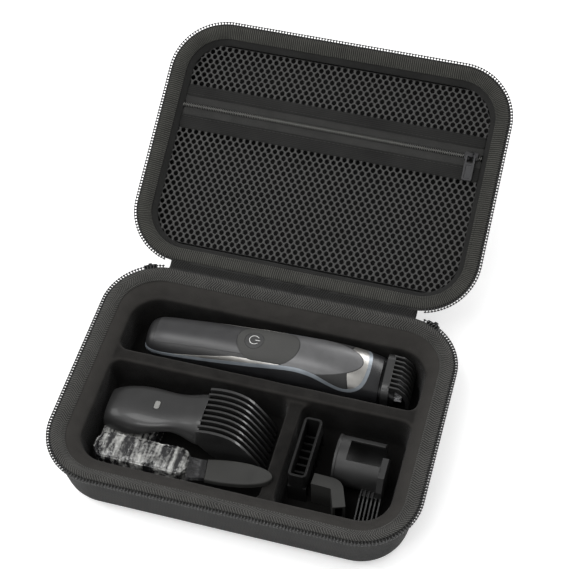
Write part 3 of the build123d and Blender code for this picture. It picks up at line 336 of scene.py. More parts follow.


# %% [markdown]
# The case is covered in three cloths. A plain weave covers the shell, a ribbed tape binds the rim
# and a short velvet lines the tray. Each has its own pitch, and a faint patchiness that keeps large
# surfaces from looking printed. Painted light follows where a surface faces: painted shade makes the
# lid nearly black inside, and painted highlights lighten the net's yarn on its ridges and the velvet
# along the edges of the bays.

# %% Woven cloth


def woven_cloth(name, colour, pitch, depth, inside=None):
    """Plain weave in the piece's own place; painted shade turns the side facing inside nearly black."""
    gloss = {"Sheen_Weight": 0.03, "Sheen_Roughness": 0.5, "Specular_IOR_Level": 0.25}
    finish, shader = new_finish(name, colour, 0.88, **gloss)
    place = place_coordinates(finish)
    across = waves(finish, place, pitch, "X", pi / 4)
    down = waves(finish, place, pitch, "Y", pi / 4)
    upright = waves(finish, place, pitch, "Z")
    weave = combine(finish, "MULTIPLY", weighted(finish, (across, 1), (down, 1)), upright)
    cloud = speckle(finish, place, 20.0 * MM, 4.0)
    shade = spread(finish, weighted(finish, (weave, 0.45), (cloud, 0.9)), 0.2, 1.1)
    # Painted shade: faces turned towards the inside direction are darkened towards black.
    if inside:
        shade = combine(finish, "SUBTRACT", shade, facing(finish, inside, 0.1, 0.3))
    shade_with(finish, shader, shade, tint(colour, 0.35), tint(colour, 1.6))
    raise_with(finish, shader, weave, depth)
    return finish


# %% [markdown]
# The tape's ribs could be modelled, but there are thousands. Sine waves along the band's own length
# give them at their real pitch, and a zigzag added to that length makes a herringbone.

# %% Ribbed tape


def ribbed_tape(name, colour, pitch, zigzag, depth, slope=0.7):
    """Tape with ribs across it; zigzag is one herringbone band, and slope is how far the ribs lean."""
    gloss = {"Sheen_Weight": 0.05, "Sheen_Roughness": 0.4, "Specular_IOR_Level": 0.3}
    finish, shader = new_finish(name, colour, 0.85, **gloss)
    place = place_coordinates(finish, True)
    parts = add_node(finish, "ShaderNodeSeparateXYZ")
    link(finish, place, parts.inputs["Vector"])
    along, across = parts.outputs["X"], parts.outputs["Y"]
    slant = combine(finish, "PINGPONG", across, zigzag)
    rib = sine(finish, weighted(finish, (along, 1), (slant, slope)), pitch)
    thread = sine(finish, across, 0.55 * pitch)
    weave = weighted(finish, (rib, 1), (thread, 0.25))
    cloud = speckle(finish, place, 14.0 * MM, 4.0)
    frayed = speckle(finish, place, 0.5 * MM, 2.0)
    shade = spread(finish, weighted(finish, (weave, 0.8), (cloud, 1), (frayed, 1)), 0.1, 1.9)
    shade_with(finish, shader, shade, tint(colour, 0.15), tint(colour, 2.0))
    raise_with(finish, shader, weighted(finish, (weave, 1), (frayed, 1)), depth)
    return finish


# %% [markdown]
# Velvet has no weave to show, only fine pile. Its colour carries painted shade, darker deep in the
# bays, and a painted highlight, lighter along their edges.

# %% Velvet


def short_velvet(name, colour):
    """Brushed lining: fine pile, painted shade deep in the bays, a painted highlight along their edges."""
    gloss = {"Sheen_Weight": 0.08, "Sheen_Roughness": 0.3, "Specular_IOR_Level": 0.15}
    finish, shader = new_finish(name, colour, 0.95, **gloss)
    place = place_coordinates(finish)
    parts = add_node(finish, "ShaderNodeSeparateXYZ")
    link(finish, place, parts.inputs["Vector"])
    pile = speckle(finish, place, 0.5 * MM, 3.0)
    rubbed = speckle(finish, place, 9.0 * MM, 5.0)
    # Painted shade: darker towards the bottom of the bays, lighter towards the rim.
    height = spread(finish, parts.outputs["Z"], 12 * MM, base_height - 4 * MM)
    # Painted highlight: lighter on sloping faces near the top, along the edges of the bays.
    turned_up = facing(finish, (0.0, 0.0, 1.0), 0.15, 0.6)
    flat = facing(finish, (0.0, 0.0, 1.0), 0.85, 0.99)
    painted_edge_highlight = weighted(finish, (turned_up, 1), (flat, -0.7))
    painted_edge_highlight = combine(finish, "MULTIPLY", combine(finish, "MULTIPLY", painted_edge_highlight, height), height)
    shade = weighted(finish, (pile, 0.35), (rubbed, 0.5), (height, 0.3), (painted_edge_highlight, 0.9))
    shade_with(finish, shader, spread(finish, shade, 0.5, 2.0), tint(colour, 0.3), tint(colour, 3.6))
    raise_with(finish, shader, weighted(finish, (pile, 1), (rubbed, 1)), 0.3 * MM)
    return finish


# %% [markdown]
# The net's strands are round yarn, and only their tops catch the light. So the shade follows how far
# the surface faces out of the lid.

# %% Yarn


def knitted_yarn(name, colour, up):
    """Yarn with a painted highlight on the strands' ridges and painted shade towards the holes."""
    gloss = {"Sheen_Weight": 0.1, "Sheen_Roughness": 0.4, "Specular_IOR_Level": 0.35}
    finish, shader = new_finish(name, colour, 0.8, **gloss)
    place = place_coordinates(finish)
    twist = waves(finish, place, 0.8 * MM, "DIAGONAL")
    fuzz = speckle(finish, place, 0.6 * MM, 3.0)
    # Painted highlight on the strands' tops, which face out of the lid; painted shade towards the holes.
    painted_ridge_highlight = facing(finish, up, 0.92, 1.0)
    shade = combine(finish, "MULTIPLY", painted_ridge_highlight, weighted(finish, (twist, 0.4), (fuzz, 1)))
    shade_with(finish, shader, shade, tint(colour, 0.35), tint(colour, 1.9))
    raise_with(finish, shader, weighted(finish, (twist, 1), (fuzz, 1)), 0.1 * MM)
    return finish


# %% [markdown]
# Each cloth of the case gets its colour, its pitch and its depth. The lid's binding has straight
# ribs and the other one a herringbone, as in the photograph.

# %% Cloths of the case
lid_open = tuple((lid_place(0, 0, 1) - lid_place(0, 0, 0)).normalized())
shell_cloth = woven_cloth("shell_cloth", (0.016, 0.016, 0.0155), 1.4 * MM, 0.2 * MM)
# Painted shade: the lid's cloth turns nearly black where it faces out of the open lid, on its inner side.
lid_cloth = woven_cloth("lid_cloth", (0.014, 0.014, 0.0135), 1.4 * MM, 0.2 * MM, inside=lid_open)
binding_cloth = ribbed_tape("binding_cloth", (0.036, 0.0355, 0.033), 1.75 * MM, 4.6 * MM, 0.22 * MM)
lid_binding_cloth = ribbed_tape(
    "lid_binding_cloth", (0.032, 0.032, 0.028), 1.45 * MM, 40.0 * MM, 0.25 * MM, slope=0.0)
# Painted shade: the hinge strip's tape is coloured nearly black for the shadow between the halves.
painted_shade_strip_cloth = ribbed_tape("painted_shade_strip_cloth", (0.009, 0.009, 0.0085), 1.75 * MM, 4.6 * MM, 0.15 * MM)
tape_cloth = ribbed_tape("tape_cloth", (0.021, 0.021, 0.02), 0.8 * MM, 30.0 * MM, 0.06 * MM)
hem_cloth = woven_cloth("hem_cloth", (0.011, 0.011, 0.0105), 0.6 * MM, 0.05 * MM)
net_yarn = knitted_yarn("net_yarn", (0.04, 0.04, 0.0385), lid_open)
stitch_thread = woven_cloth("stitch_thread", (0.03, 0.03, 0.028), 0.4 * MM, 0.05 * MM)
tray_velvet = short_velvet("tray_velvet", (0.0125, 0.0118, 0.011))
print("cloth finishes made")

# %% [markdown]
# The trimmer and its combs are moulded. The housing is a satin black, the panels are smoother, and
# the grip is a matt soft coat. Plastic is never quite even, so each finish gets a fine grain and a
# slow change of roughness. Real edges are never razor sharp, so a Bevel node rounds them in the
# light, which costs no faces.

# %% Moulded surfaces


def moulded(name, colour, roughness, depth=0.012 * MM, metallic=0.0, edge=0.25 * MM, **sockets):
    """Moulded, plated or painted surface with a fine grain and softly rounded edges."""
    finish, shader = new_finish(name, colour, roughness, metallic, **sockets)
    place = place_coordinates(finish)
    fine = speckle(finish, place, 0.4 * MM, 2.0)
    slow = speckle(finish, place, 10.0 * MM, 3.0)
    shade_with(finish, shader, spread(finish, slow, 0.3, 0.7), tint(colour, 0.88), tint(colour, 1.12))
    uneven = weighted(finish, (fine, 1), (slow, 1))
    rough = spread(finish, uneven, 0.6, 1.4, roughness * 0.85, min(roughness * 1.2, 1.0))
    link(finish, rough, shader.inputs["Roughness"])
    raise_with(finish, shader, fine, depth, edge)
    return finish


# %% Brushed metal


def brushed(name, colour, roughness, metallic):
    """Fine scratches along the trimmer's length."""
    finish, shader = new_finish(name, colour, roughness, metallic)
    place = place_coordinates(finish)
    mapping = add_node(finish, "ShaderNodeMapping")
    mapping.inputs["Scale"].default_value = (0.04, 1.0, 1.0)
    link(finish, place, mapping.inputs["Vector"])
    lines = speckle(finish, mapping.outputs["Vector"], 0.25 * MM, 2.0)
    shade_with(finish, shader, spread(finish, lines, 0.35, 0.65), tint(colour, 0.85), tint(colour, 1.15))
    rough = spread(finish, lines, 0.3, 0.7, roughness * 0.8, roughness * 1.25)
    link(finish, rough, shader.inputs["Roughness"])
    raise_with(finish, shader, lines, 0.001 * MM, 0.3 * MM)
    return finish


# %% [markdown]
# Clear film mostly shows what it mirrors: light and dark streaks. A plain studio has little to
# mirror, so the streaks are part of the colour here, drawn out along the folds.

# %% Clear film


def clear_film(name):
    """Crumpled clear film: soft light and dark streaks along its folds, over what it holds."""
    clearness = {"Transmission_Weight": 0.45, "IOR": 1.45, "Coat_Weight": 0.6}
    finish, shader = new_finish(name, (0.8, 0.81, 0.82), 0.12, **clearness)
    place = place_coordinates(finish)
    mapping = add_node(finish, "ShaderNodeMapping")
    mapping.inputs["Scale"].default_value = (1.0, 0.16, 0.3)
    mapping.inputs["Rotation"].default_value = (0.0, 0.0, radians(9))
    link(finish, place, mapping.inputs["Vector"])
    streaks = speckle(finish, mapping.outputs["Vector"], 4.2 * MM, 3.0)
    creases = speckle(finish, place, 2.2 * MM, 3.0)
    folded = weighted(finish, (streaks, 1), (creases, 0.35))
    shade_with(finish, shader, spread(finish, folded, 0.6, 0.86), (0.02, 0.02, 0.022), (0.75, 0.75, 0.72))
    raise_with(finish, shader, folded, 1.5 * MM)
    return finish


# %% [markdown]
# The short comb stands in deep shade, so its finish is darker, as painted shade, and hardly shines.

housing_black = moulded("housing_black", (0.012, 0.012, 0.013), 0.3)
cover_grey = moulded("cover_grey", (0.012, 0.012, 0.0125), 0.42)
shoulder_grey = moulded("shoulder_grey", (0.1, 0.1, 0.102), 0.38, depth=0.002 * MM, metallic=0.3)
panel_gloss = moulded("panel_gloss", (0.028, 0.028, 0.029), 0.38, depth=0.002 * MM)
soft_touch = moulded("soft_touch", (0.036, 0.036, 0.034), 0.7, depth=0.02 * MM)
button_touch = moulded("button_touch", (0.03, 0.03, 0.03), 0.5, depth=0.02 * MM)
trim_blue = moulded("trim_blue", (0.22, 0.245, 0.27), 0.32, metallic=0.5)
accent_silver = moulded("accent_silver", (0.4, 0.39, 0.37), 0.3, depth=0.001 * MM, metallic=0.9)
insert_black = moulded("insert_black", (0.01, 0.01, 0.01), 0.6, depth=0.04 * MM)
comb_plastic = moulded("comb_plastic", (0.014, 0.014, 0.014), 0.42, edge=0.4 * MM, Coat_Weight=0.2)
# Painted shade: a darker copy of the comb plastic, for the combs that lie in deep shade.
shaded_plastic = moulded(
    "shaded_plastic", (0.006, 0.006, 0.006), 0.5, edge=0.1 * MM, Specular_IOR_Level=0.2)
ring_plastic = moulded("ring_plastic", (0.011, 0.011, 0.011), 0.5, edge=0.5 * MM)
satin_plastic = moulded("satin_plastic", (0.023, 0.023, 0.0215), 0.6, Specular_IOR_Level=0.3)
zip_nylon = moulded("zip_nylon", (0.02, 0.02, 0.02), 0.35, edge=0.0)
gunmetal = moulded("gunmetal", (0.03, 0.03, 0.031), 0.42, metallic=0.85, edge=0.4 * MM)
# Painted highlight: the pocket coil's pale colour stands in for the highlight along it.
coil_painted_highlight = moulded("coil_painted_highlight", (0.16, 0.16, 0.15), 0.3, edge=0.0)
blade_steel = brushed("blade_steel", (0.4, 0.4, 0.41), 0.3, 1.0)
mark_white = moulded("mark_white", (0.75, 0.75, 0.74), 0.4)
board_green = moulded("board_green", (0.02, 0.1, 0.04), 0.35)
cell_blue = moulded("cell_blue", (0.05, 0.12, 0.3), 0.3)
motor_can = moulded("motor_can", (0.45, 0.45, 0.46), 0.3, metallic=1.0)
lock_grey = moulded("lock_grey", (0.2, 0.2, 0.19), 0.4)
bristle_black = moulded("bristle_black", (0.02, 0.02, 0.021), 0.3)
bag_film = clear_film("bag_film")

# %% [markdown]
# The table is white. It also glows a little, but only for rays from the camera, a mirror or glass.
# So it looks white and adds no light to the object.

# %% Finish of the table
table_white, table_shader = new_finish("table_white", (0.9, 0.9, 0.9), 0.7)
table_glow = 0.3
rays = add_node(table_white, "ShaderNodeLightPath").outputs
seen_by = combine(table_white, "MAXIMUM", rays["Is Camera Ray"], rays["Is Glossy Ray"])
seen_by = combine(table_white, "MAXIMUM", seen_by, rays["Is Transmission Ray"])
glow = combine(table_white, "MULTIPLY", seen_by, table_glow)
table_shader.inputs["Emission Color"].default_value = (1.0, 1.0, 1.0, 1.0)
link(table_white, glow, table_shader.inputs["Emission Strength"])
table_top.data.materials.append(table_white)
print(len(bpy.data.materials), "finishes")

# %% [markdown]
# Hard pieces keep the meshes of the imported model, so their shape stays exact, and only get a finish
# here. Hidden ones, such as the battery, get theirs too, because another picture may show them.

# %% Finishes on the pieces that keep their shape


def dress(finish, *names):
    """Gives pieces of the model a finish."""
    for name in names:
        piece = nodes[name]
        piece.data.materials.clear()
        piece.data.materials.append(finish)


dress(shell_cloth, "base_shell")
dress(lid_cloth, "lid_shell")
dress(gunmetal, "pocket_slider", "pocket_pull")
dress(gunmetal, "zip_slider_left", "zip_slider_right", "zip_pull_left", "zip_pull_right")
dress(housing_black, "trimmer_housing", "trimmer_head", "charging_socket", "chassis")
dress(cover_grey, "trimmer_cover")
dress(shoulder_grey, "shoulder_panel")
dress(panel_gloss, "face_panel", "indicator")
dress(soft_touch, "soft_pad")
dress(button_touch, "power_button")
dress(trim_blue, "trimmer_trim")
dress(accent_silver, "side_accents", "neck_accent")
dress(insert_black, "side_inserts")
dress(blade_steel, "fixed_blade", "moving_blade")
dress(board_green, "circuit_board")
dress(cell_blue, "battery")
dress(motor_can, "motor", "drive_eccentric")
dress(comb_plastic, "slim_comb", "beard_comb")
dress(shaded_plastic, "short_comb", "spare_comb")
dress(ring_plastic, "ring_comb")
dress(satin_plastic, "brush_handle", "wide_comb")
dress(lock_grey, "comb_lock_button")

# %% [markdown]
# Every sewn edge of the case follows the same rounded outline. The outline is walked once, from the
# middle of the front all the way round, and each band is a small closed section carried along it.
# Distances along and across the band become its texture coordinates, so the ribs turn the corners.

# %% Outline of the rim
straight_x = rim_width / 2 - rim_radius
straight_out = rim_depth / 2 - rim_radius
rim_length = 4 * (straight_x + straight_out) + 2 * pi * rim_radius


def rim_corner(angle, out):
    """Place and outward direction on a right-hand corner that is centred that far out."""
    across, outward = cos(angle), sin(angle)
    return straight_x + rim_radius * across, out + rim_radius * outward, across, outward


def rim_point(distance):
    """Place and outward direction on the rim, at a distance from the middle of the front."""
    left = distance % rim_length
    mirrored = left > rim_length / 2
    if mirrored:
        left = rim_length - left
    quarter = pi / 2 * rim_radius
    if left < straight_x:
        spot = (left, rim_depth / 2, 0.0, 1.0)
    elif left < straight_x + quarter:
        spot = rim_corner(pi / 2 - (left - straight_x) / rim_radius, straight_out)
    elif left < straight_x + quarter + 2 * straight_out:
        spot = (rim_width / 2, straight_out - (left - straight_x - quarter), 1.0, 0.0)
    elif left < straight_x + 2 * quarter + 2 * straight_out:
        spot = rim_corner(-(left - straight_x - quarter - 2 * straight_out) / rim_radius, -straight_out)
    else:
        along = left - straight_x - 2 * quarter - 2 * straight_out
        spot = (straight_x - along, -rim_depth / 2, 0.0, -1.0)
    x, out, normal_x, normal_out = spot
    return (-x, out, -normal_x, normal_out) if mirrored else (x, out, normal_x, normal_out)


print("rim is", round(rim_length / MM), "mm round")

# %% A piece from points and faces


def new_piece(name, finish, verts, faces, body=None, stands_for=(), uvs=None):
    """A mesh piece in the room's frame, with its finish, its body and the solid it stands for."""
    mesh = bpy.data.meshes.new(name)
    mesh.from_pydata([tuple(v) for v in verts], [], faces)
    if uvs:
        layer = mesh.uv_layers.new(name="UVMap")
        corner = 0
        for face_uvs in uvs:
            for uv in face_uvs:
                layer.data[corner].uv = uv
                corner += 1
    mesh.materials.append(finish)
    piece = bpy.data.objects.new(name, mesh)
    scene.collection.objects.link(piece)
    mesh.shade_smooth()
    if body:
        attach(piece, body)
    if stands_for:
        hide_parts(*stands_for)
    return piece


def soften(piece):
    """One level of subdivision, which rounds a coarse mesh."""
    modifier = piece.modifiers.new("rounded", "SUBSURF")
    modifier.levels = 1
    modifier.render_levels = 1


# %% A band round the rim


def rim_band(name, place, section, finish, body, stands_for, ripple=0.0):
    """A closed (inset, up) section in millimetres, carried all the way round the rim."""
    step_length = 2.0 * MM
    ripple_length = 16 * MM
    turns = int(rim_length / step_length)
    count = len(section)
    widths = [0.0]
    for index in range(count):
        first, second = section[index], section[(index + 1) % count]
        widths.append(widths[-1] + hypot(second[0] - first[0], second[1] - first[1]) * MM)
    verts, faces, uvs = [], [], []
    for turn in range(turns):
        distance = rim_length * turn / turns
        x, out, normal_x, normal_out = rim_point(distance)
        for index, (inset, up) in enumerate(section):
            sway = noise.noise(Vector((x, out, index * 0.02)) / ripple_length) * ripple
            inward = (inset + sway) * MM
            height = (up + sway * 0.6) * MM
            verts.append(place(x - normal_x * inward, out - normal_out * inward, height))
    for turn in range(turns):
        following = (turn + 1) % turns
        along = rim_length * turn / turns, rim_length * (turn + 1) / turns
        for index in range(count):
            after = (index + 1) % count
            faces.append((
                turn * count + index, following * count + index,
                following * count + after, turn * count + after,
            ))
            across = widths[index], widths[index + 1]
            uvs.append((
                (along[0], across[0]), (along[1], across[0]), (along[1], across[1]), (along[0], across[1]),
            ))
    soften(new_piece(name, finish, verts, faces, body, stands_for, uvs))


# %% [markdown]
# The binding is a folded tape, sewn over the rim. It is a little puffy and never quite even, which
# a slow ripple along the outline gives. Under it lies the tape of the zip.

# %% Binding and zip tape
binding_section = (
    (0.75, -1.3), (0.5, -0.85), (0.7, -0.42), (1.4, -0.22), (2.9, -0.2), (4.4, -0.45), (6.0, -1.15),
    (7.6, -2.05), (9.1, -2.85), (9.65, -3.3), (9.6, -3.75), (9.0, -3.9), (7.4, -3.05), (5.6, -2.1),
    (4.3, -1.35),
)
tape_section = ((-0.9, -1.85), (-0.95, -1.55), (0.0, -1.3), (1.0, -1.22), (4.0, -1.22), (4.0, -1.88))
puff = 0.14
for cloth, (half, place) in zip((binding_cloth, lid_binding_cloth), halves):
    rim_band(
        f"{half}_rim_binding", place, binding_section, cloth, half, [f"{half}_binding"], puff)
    rim_band(f"{half}_rim_tape", place, tape_section, tape_cloth, half, [f"{half}_zip_tape"])
print("binding and tape on", len(halves), "halves")

# %% [markdown]
# The zip is a coil: one nylon filament bent into a loop for every tooth. Its head is pressed wide, so
# the heads almost touch and the table shows between the loops as a row of dots. The loops of the two
# halves stand half a pitch apart, as they do when the zip is shut.

# %% A tube along points


def add_tube(verts, faces, points, radii, sides, side_hint):
    """A closed tube through points; a radius is one number, or two: across the hint and along it."""
    first = len(verts)
    for index, point in enumerate(points):
        before = points[max(index - 1, 0)]
        after = points[min(index + 1, len(points) - 1)]
        forward = (after - before).normalized()
        side = forward.cross(side_hint).normalized()
        rise = side.cross(forward)
        radius = radii[index]
        wide, flat = radius if isinstance(radius, tuple) else (radius, radius)
        for step in range(sides):
            angle = 2 * pi * step / sides
            verts.append(point + side * (wide * cos(angle)) + rise * (flat * sin(angle)))
    for ring in range(len(points) - 1):
        for step in range(sides):
            following = (step + 1) % sides
            low, high = first + ring * sides, first + (ring + 1) * sides
            faces.append((low + step, low + following, high + following, high + step))
    last = first + (len(points) - 1) * sides
    faces.append(tuple(first + step for step in reversed(range(sides))))
    faces.append(tuple(last + step for step in range(sides)))


# %% Zip coil
strip_low, strip_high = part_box("hinge_strip")
strip_length = strip_high.x - strip_low.x
loop_pitch = 2.1 * MM
loop_path = (
    (0.5, -1.55), (-1.3, -1.6), (-1.85, -1.4), (-2.0, -1.0), (-1.85, -0.6), (-1.3, -0.45), (0.6, -0.55),
)
filament = 0.36 * MM
shoulder = 0.5 * MM, 0.9 * MM
head = 0.5 * MM, 1.18 * MM
loop_radii = [filament, filament, shoulder, head, shoulder, filament, filament]
loops = int((rim_length - strip_length) / 2 / loop_pitch) - 1
for shift, (half, place) in zip((0.0, 0.5), halves):
    verts, faces = [], []
    for loop in range(-loops, loops):
        x, out, normal_x, normal_out = rim_point((loop + shift) * loop_pitch)
        points = [
            place(x - normal_x * inset * MM, out - normal_out * inset * MM, up * MM)
            for inset, up in loop_path
        ]
        along = (place(x - normal_out * MM, out + normal_x * MM, 0.0) - place(x, out, 0.0)).normalized()
        add_tube(verts, faces, points, loop_radii, 6, along)
    new_piece(f"{half}_zip_coil", zip_nylon, verts, faces, half, [f"{half}_zip_teeth"])
print(2 * loops, "loops in each half")

# %% [markdown]
# The hinge is a strip of tape, sewn to the back edge of both halves, and painted shade makes it nearly
# black for the shadow between them. It has to bend when the lid moves, so it is a fine grid. It sags a
# little between its seams and is never quite flat.

# %% Hinge strip
seam_up = -1.55 * MM
strip_ends = base_place(0, -rim_depth / 2, seam_up), lid_place(0, -rim_depth / 2, seam_up)
columns, rows = 58, 12
strip_width = 9.0 * MM
half_thick = 0.35 * MM
sag_depth = 1.5 * MM
rumple_depth = 0.25 * MM
past_seam = 0.12
verts, faces, uvs = [], [], []
for side in (half_thick, -half_thick):
    for column in range(columns + 1):
        x = strip_low.x + strip_length * column / columns
        for row in range(rows + 1):
            share = -past_seam + (1 + 2 * past_seam) * row / rows
            spot = strip_ends[0].lerp(strip_ends[1], share)
            sag = 4 * max(share * (1 - share), 0.0) * sag_depth
            rumple = noise.noise(Vector((x, share * 0.01, 0.0)) / (9 * MM)) * rumple_depth
            verts.append(Vector((x, spot.y, spot.z - sag + side + rumple)))
layer_size = (columns + 1) * (rows + 1)
for column in range(columns):
    for row in range(rows):
        corner = column * (rows + 1) + row
        around = (corner, corner + rows + 1, corner + rows + 2, corner + 1)
        strip_uvs = [
            (strip_length * (column + i) / columns, strip_width * (row + j) / rows)
            for i, j in ((0, 0), (1, 0), (1, 1), (0, 1))
        ]
        faces.append(around)
        uvs.append(strip_uvs)
        faces.append(tuple(layer_size + index for index in reversed(around)))
        uvs.append(list(reversed(strip_uvs)))
edge = [column * (rows + 1) for column in range(columns + 1)]
edge += [columns * (rows + 1) + row for row in range(1, rows + 1)]
edge += [column * (rows + 1) + rows for column in range(columns - 1, -1, -1)]
edge += list(range(rows - 1, 0, -1))
for first, second in zip(edge, edge[1:] + edge[:1]):
    faces.append((second, first, layer_size + first, layer_size + second))
    uvs.append([(0.0, 0.0), (0.001, 0.0), (0.001, 0.001), (0.0, 0.001)])
strip = new_piece("hinge_cloth", painted_shade_strip_cloth, verts, faces, None, ["hinge_strip"], uvs)
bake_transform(strip)
print("hinge strip", round(strip_length / MM), "mm long")

# %% [markdown]
# The tray is foam with a velvet skin. Its shape is right in the model, but its edges are too crisp
# for cloth drawn over foam. So a copy is rebuilt as even small faces, smoothed, and given a very
# slight unevenness.

# %% A rebuilt mesh


def remeshed(name, voxel, rounds):
    """A copy of a piece's mesh, rebuilt from cubes of one size and smoothed."""
    copy = bpy.data.objects.new("copy_of_" + name, nodes[name].data.copy())
    scene.collection.objects.link(copy)
    rebuild = copy.modifiers.new("even", "REMESH")
    rebuild.mode = "VOXEL"
    rebuild.voxel_size = voxel
    rebuild.use_smooth_shade = True
    smooth = copy.modifiers.new("smooth", "SMOOTH")
    smooth.factor = 0.5
    smooth.iterations = rounds
    shaped = copy.evaluated_get(bpy.context.evaluated_depsgraph_get())
    mesh = bpy.data.meshes.new_from_object(shaped)
    bpy.data.objects.remove(copy)
    return mesh


# %% Tray
swell_depth = 0.16
tray_mesh = remeshed("base_tray", 1.1 * MM, 5)
normals = [vertex.normal.copy() for vertex in tray_mesh.vertices]
for vertex, normal in zip(tray_mesh.vertices, normals):
    swell = noise.noise(vertex.co / (14 * MM)) + 0.5 * noise.noise(vertex.co / (5 * MM))
    vertex.co += normal * swell * swell_depth * MM
tray_mesh.materials.clear()
tray_mesh.materials.append(tray_velvet)
tray = bpy.data.objects.new("velvet_tray", tray_mesh)
scene.collection.objects.link(tray)
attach(tray, "base")
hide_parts("base_tray")
print("tray has", len(tray_mesh.polygons), "faces")

# %% [markdown]
# The pocket is a knitted net: staggered six-sided holes between strands about two millimetres wide.
# Each hole is a ring of sloping faces between the middle of its strands and its own edge. One level
# of subdivision turns that into round, soft yarn. The net is stretched, so it only gives a little in
# the middle.

# %% How the net hangs
net_pitch_x = 4.7 * MM
net_pitch_out = 3.55 * MM
net_half_height = 0.38 * MM
border_edge = 12.3 * MM
net_up = 0.5 * (lid_reach("pocket_mesh_lower")[0][2] + lid_reach("pocket_mesh_lower")[1][2])


def under_border(x, out, inset):
    """Whether a point lies inside the outline drawn in by an inset."""
    over_x = max(abs(x) - straight_x, 0.0)
    over_out = max(abs(out) - straight_out, 0.0)
    return hypot(over_x, over_out) <= rim_radius - inset and abs(out) <= rim_depth / 2 - inset


def slack(x, out, low, high):
    """How far the net gives: nothing at its edges, a little in the middle."""
    edge = min(rim_width / 2 - border_edge - abs(x), out - low, high - out)
    hold = max(0.0, min(edge / (14 * MM), 1.0))
    broad = noise.noise(Vector((x, out, 0.0)) / (26 * MM))
    fine = noise.noise(Vector((x, out, 0.5)) / (9 * MM))
    return hold * (0.9 * (broad + 0.4 * fine) - 0.7) * MM


# %% Panels of the net


def knitted_net(name, node):
    """One panel of the net, a little larger than its solid; returns how many holes it has."""
    tucked_under = 1.2 * MM
    (_, low, _), (_, high, _) = lid_reach(node)
    low -= tucked_under
    high += tucked_under
    verts, faces, known = [], [], {}

    def shared(x, out, level):
        """One vertex for every place, so that neighbouring holes share their strands."""
        key = round(x / (0.05 * MM)), round(out / (0.05 * MM)), level
        if key not in known:
            known[key] = len(verts)
            lift = slack(x, out, low, high)
            verts.append(lid_place(x, out, net_up + lift + level * net_half_height))
        return known[key]

    holes = 0
    corners = ((0.0, 2 / 3), (0.5, 1 / 3), (0.5, -1 / 3), (0.0, -2 / 3), (-0.5, -1 / 3), (-0.5, 1 / 3))
    gap = ((0.0, 0.6), (0.24, 0.21), (0.24, -0.21), (0.0, -0.6), (-0.24, -0.21), (-0.24, 0.21))
    for row in range(int(low / net_pitch_out) - 2, int(high / net_pitch_out) + 3):
        for column in range(-25, 26):
            x = net_pitch_x * (column + 0.5 * (row % 2))
            out = net_pitch_out * row
            if not (under_border(x, out, border_edge) and low <= out <= high):
                continue
            holes += 1
            ring = [(x + across * net_pitch_x, out + down * net_pitch_out) for across, down in corners]
            hole = [(x + across * net_pitch_x, out + down * net_pitch_out) for across, down in gap]
            for index in range(len(corners)):
                after = (index + 1) % len(corners)
                for level in (1, -1):
                    quad = (
                        shared(*ring[index], level), shared(*ring[after], level),
                        shared(*hole[after], 0), shared(*hole[index], 0),
                    )
                    faces.append(quad if level == -1 else tuple(reversed(quad)))
    net = new_piece(name, net_yarn, verts, faces, "lid", [node])
    soften(net)
    return holes


for side in ("lower", "upper"):
    print(side, "net:", knitted_net(f"pocket_net_{side}", f"pocket_mesh_{side}"), "holes")

# %% [markdown]
# A smooth band closes the gap between the binding and the net. It follows the rim, so it is one more
# band, with a section that drops from the binding down to the net.

# %% Pocket border
border_section = (
    (4.5, -1.6), (7.0, -2.9), (9.2, -4.25), (10.6, -5.3), (11.9, -6.6), (12.9, -7.5), (13.3, -8.1),
    (12.7, -8.6), (10.6, -7.4), (8.6, -5.2), (4.5, -2.3),
)
edge_nodes = ["pocket_border"]
rim_band(
    "pocket_edge", lid_place, border_section, hem_cloth, "lid", edge_nodes, ripple=0.18)

# %% [markdown]
# The pocket opens with its own zip. Two folded hems hold it, and a woven tape carries its coil. They
# run straight across the lid, so each is a section carried along a line.

# %% A band across the lid


def across_lid(name, section, finish, stands_for, reach, ripple=0.0):
    """A closed (out, up) section in metres, carried straight across the lid."""
    turns = int(2 * reach / (3.0 * MM))
    count = len(section)
    verts, faces, uvs = [], [], []
    for turn in range(turns + 1):
        x = -reach + 2 * reach * turn / turns
        for index, (out, up) in enumerate(section):
            sway = noise.noise(Vector((x, out, index * 0.004)) / (11 * MM)) * ripple * MM
            verts.append(lid_place(x, out + sway, up + 0.7 * sway))
    for turn in range(turns):
        for index in range(count):
            after = (index + 1) % count
            faces.append((
                turn * count + index, turn * count + after,
                (turn + 1) * count + after, (turn + 1) * count + index,
            ))
            along = 2 * reach * turn / turns, 2 * reach * (turn + 1) / turns
            out, next_out = section[index][0], section[after][0]
            uvs.append(((along[0], out), (along[0], next_out), (along[1], next_out), (along[1], out)))
    faces.append(tuple(reversed(range(count))))
    uvs.append([(0.0, 0.0)] * count)
    faces.append(tuple(turns * count + index for index in range(count)))
    uvs.append([(0.0, 0.0)] * count)
    soften(new_piece(name, finish, verts, faces, "lid", stands_for, uvs))


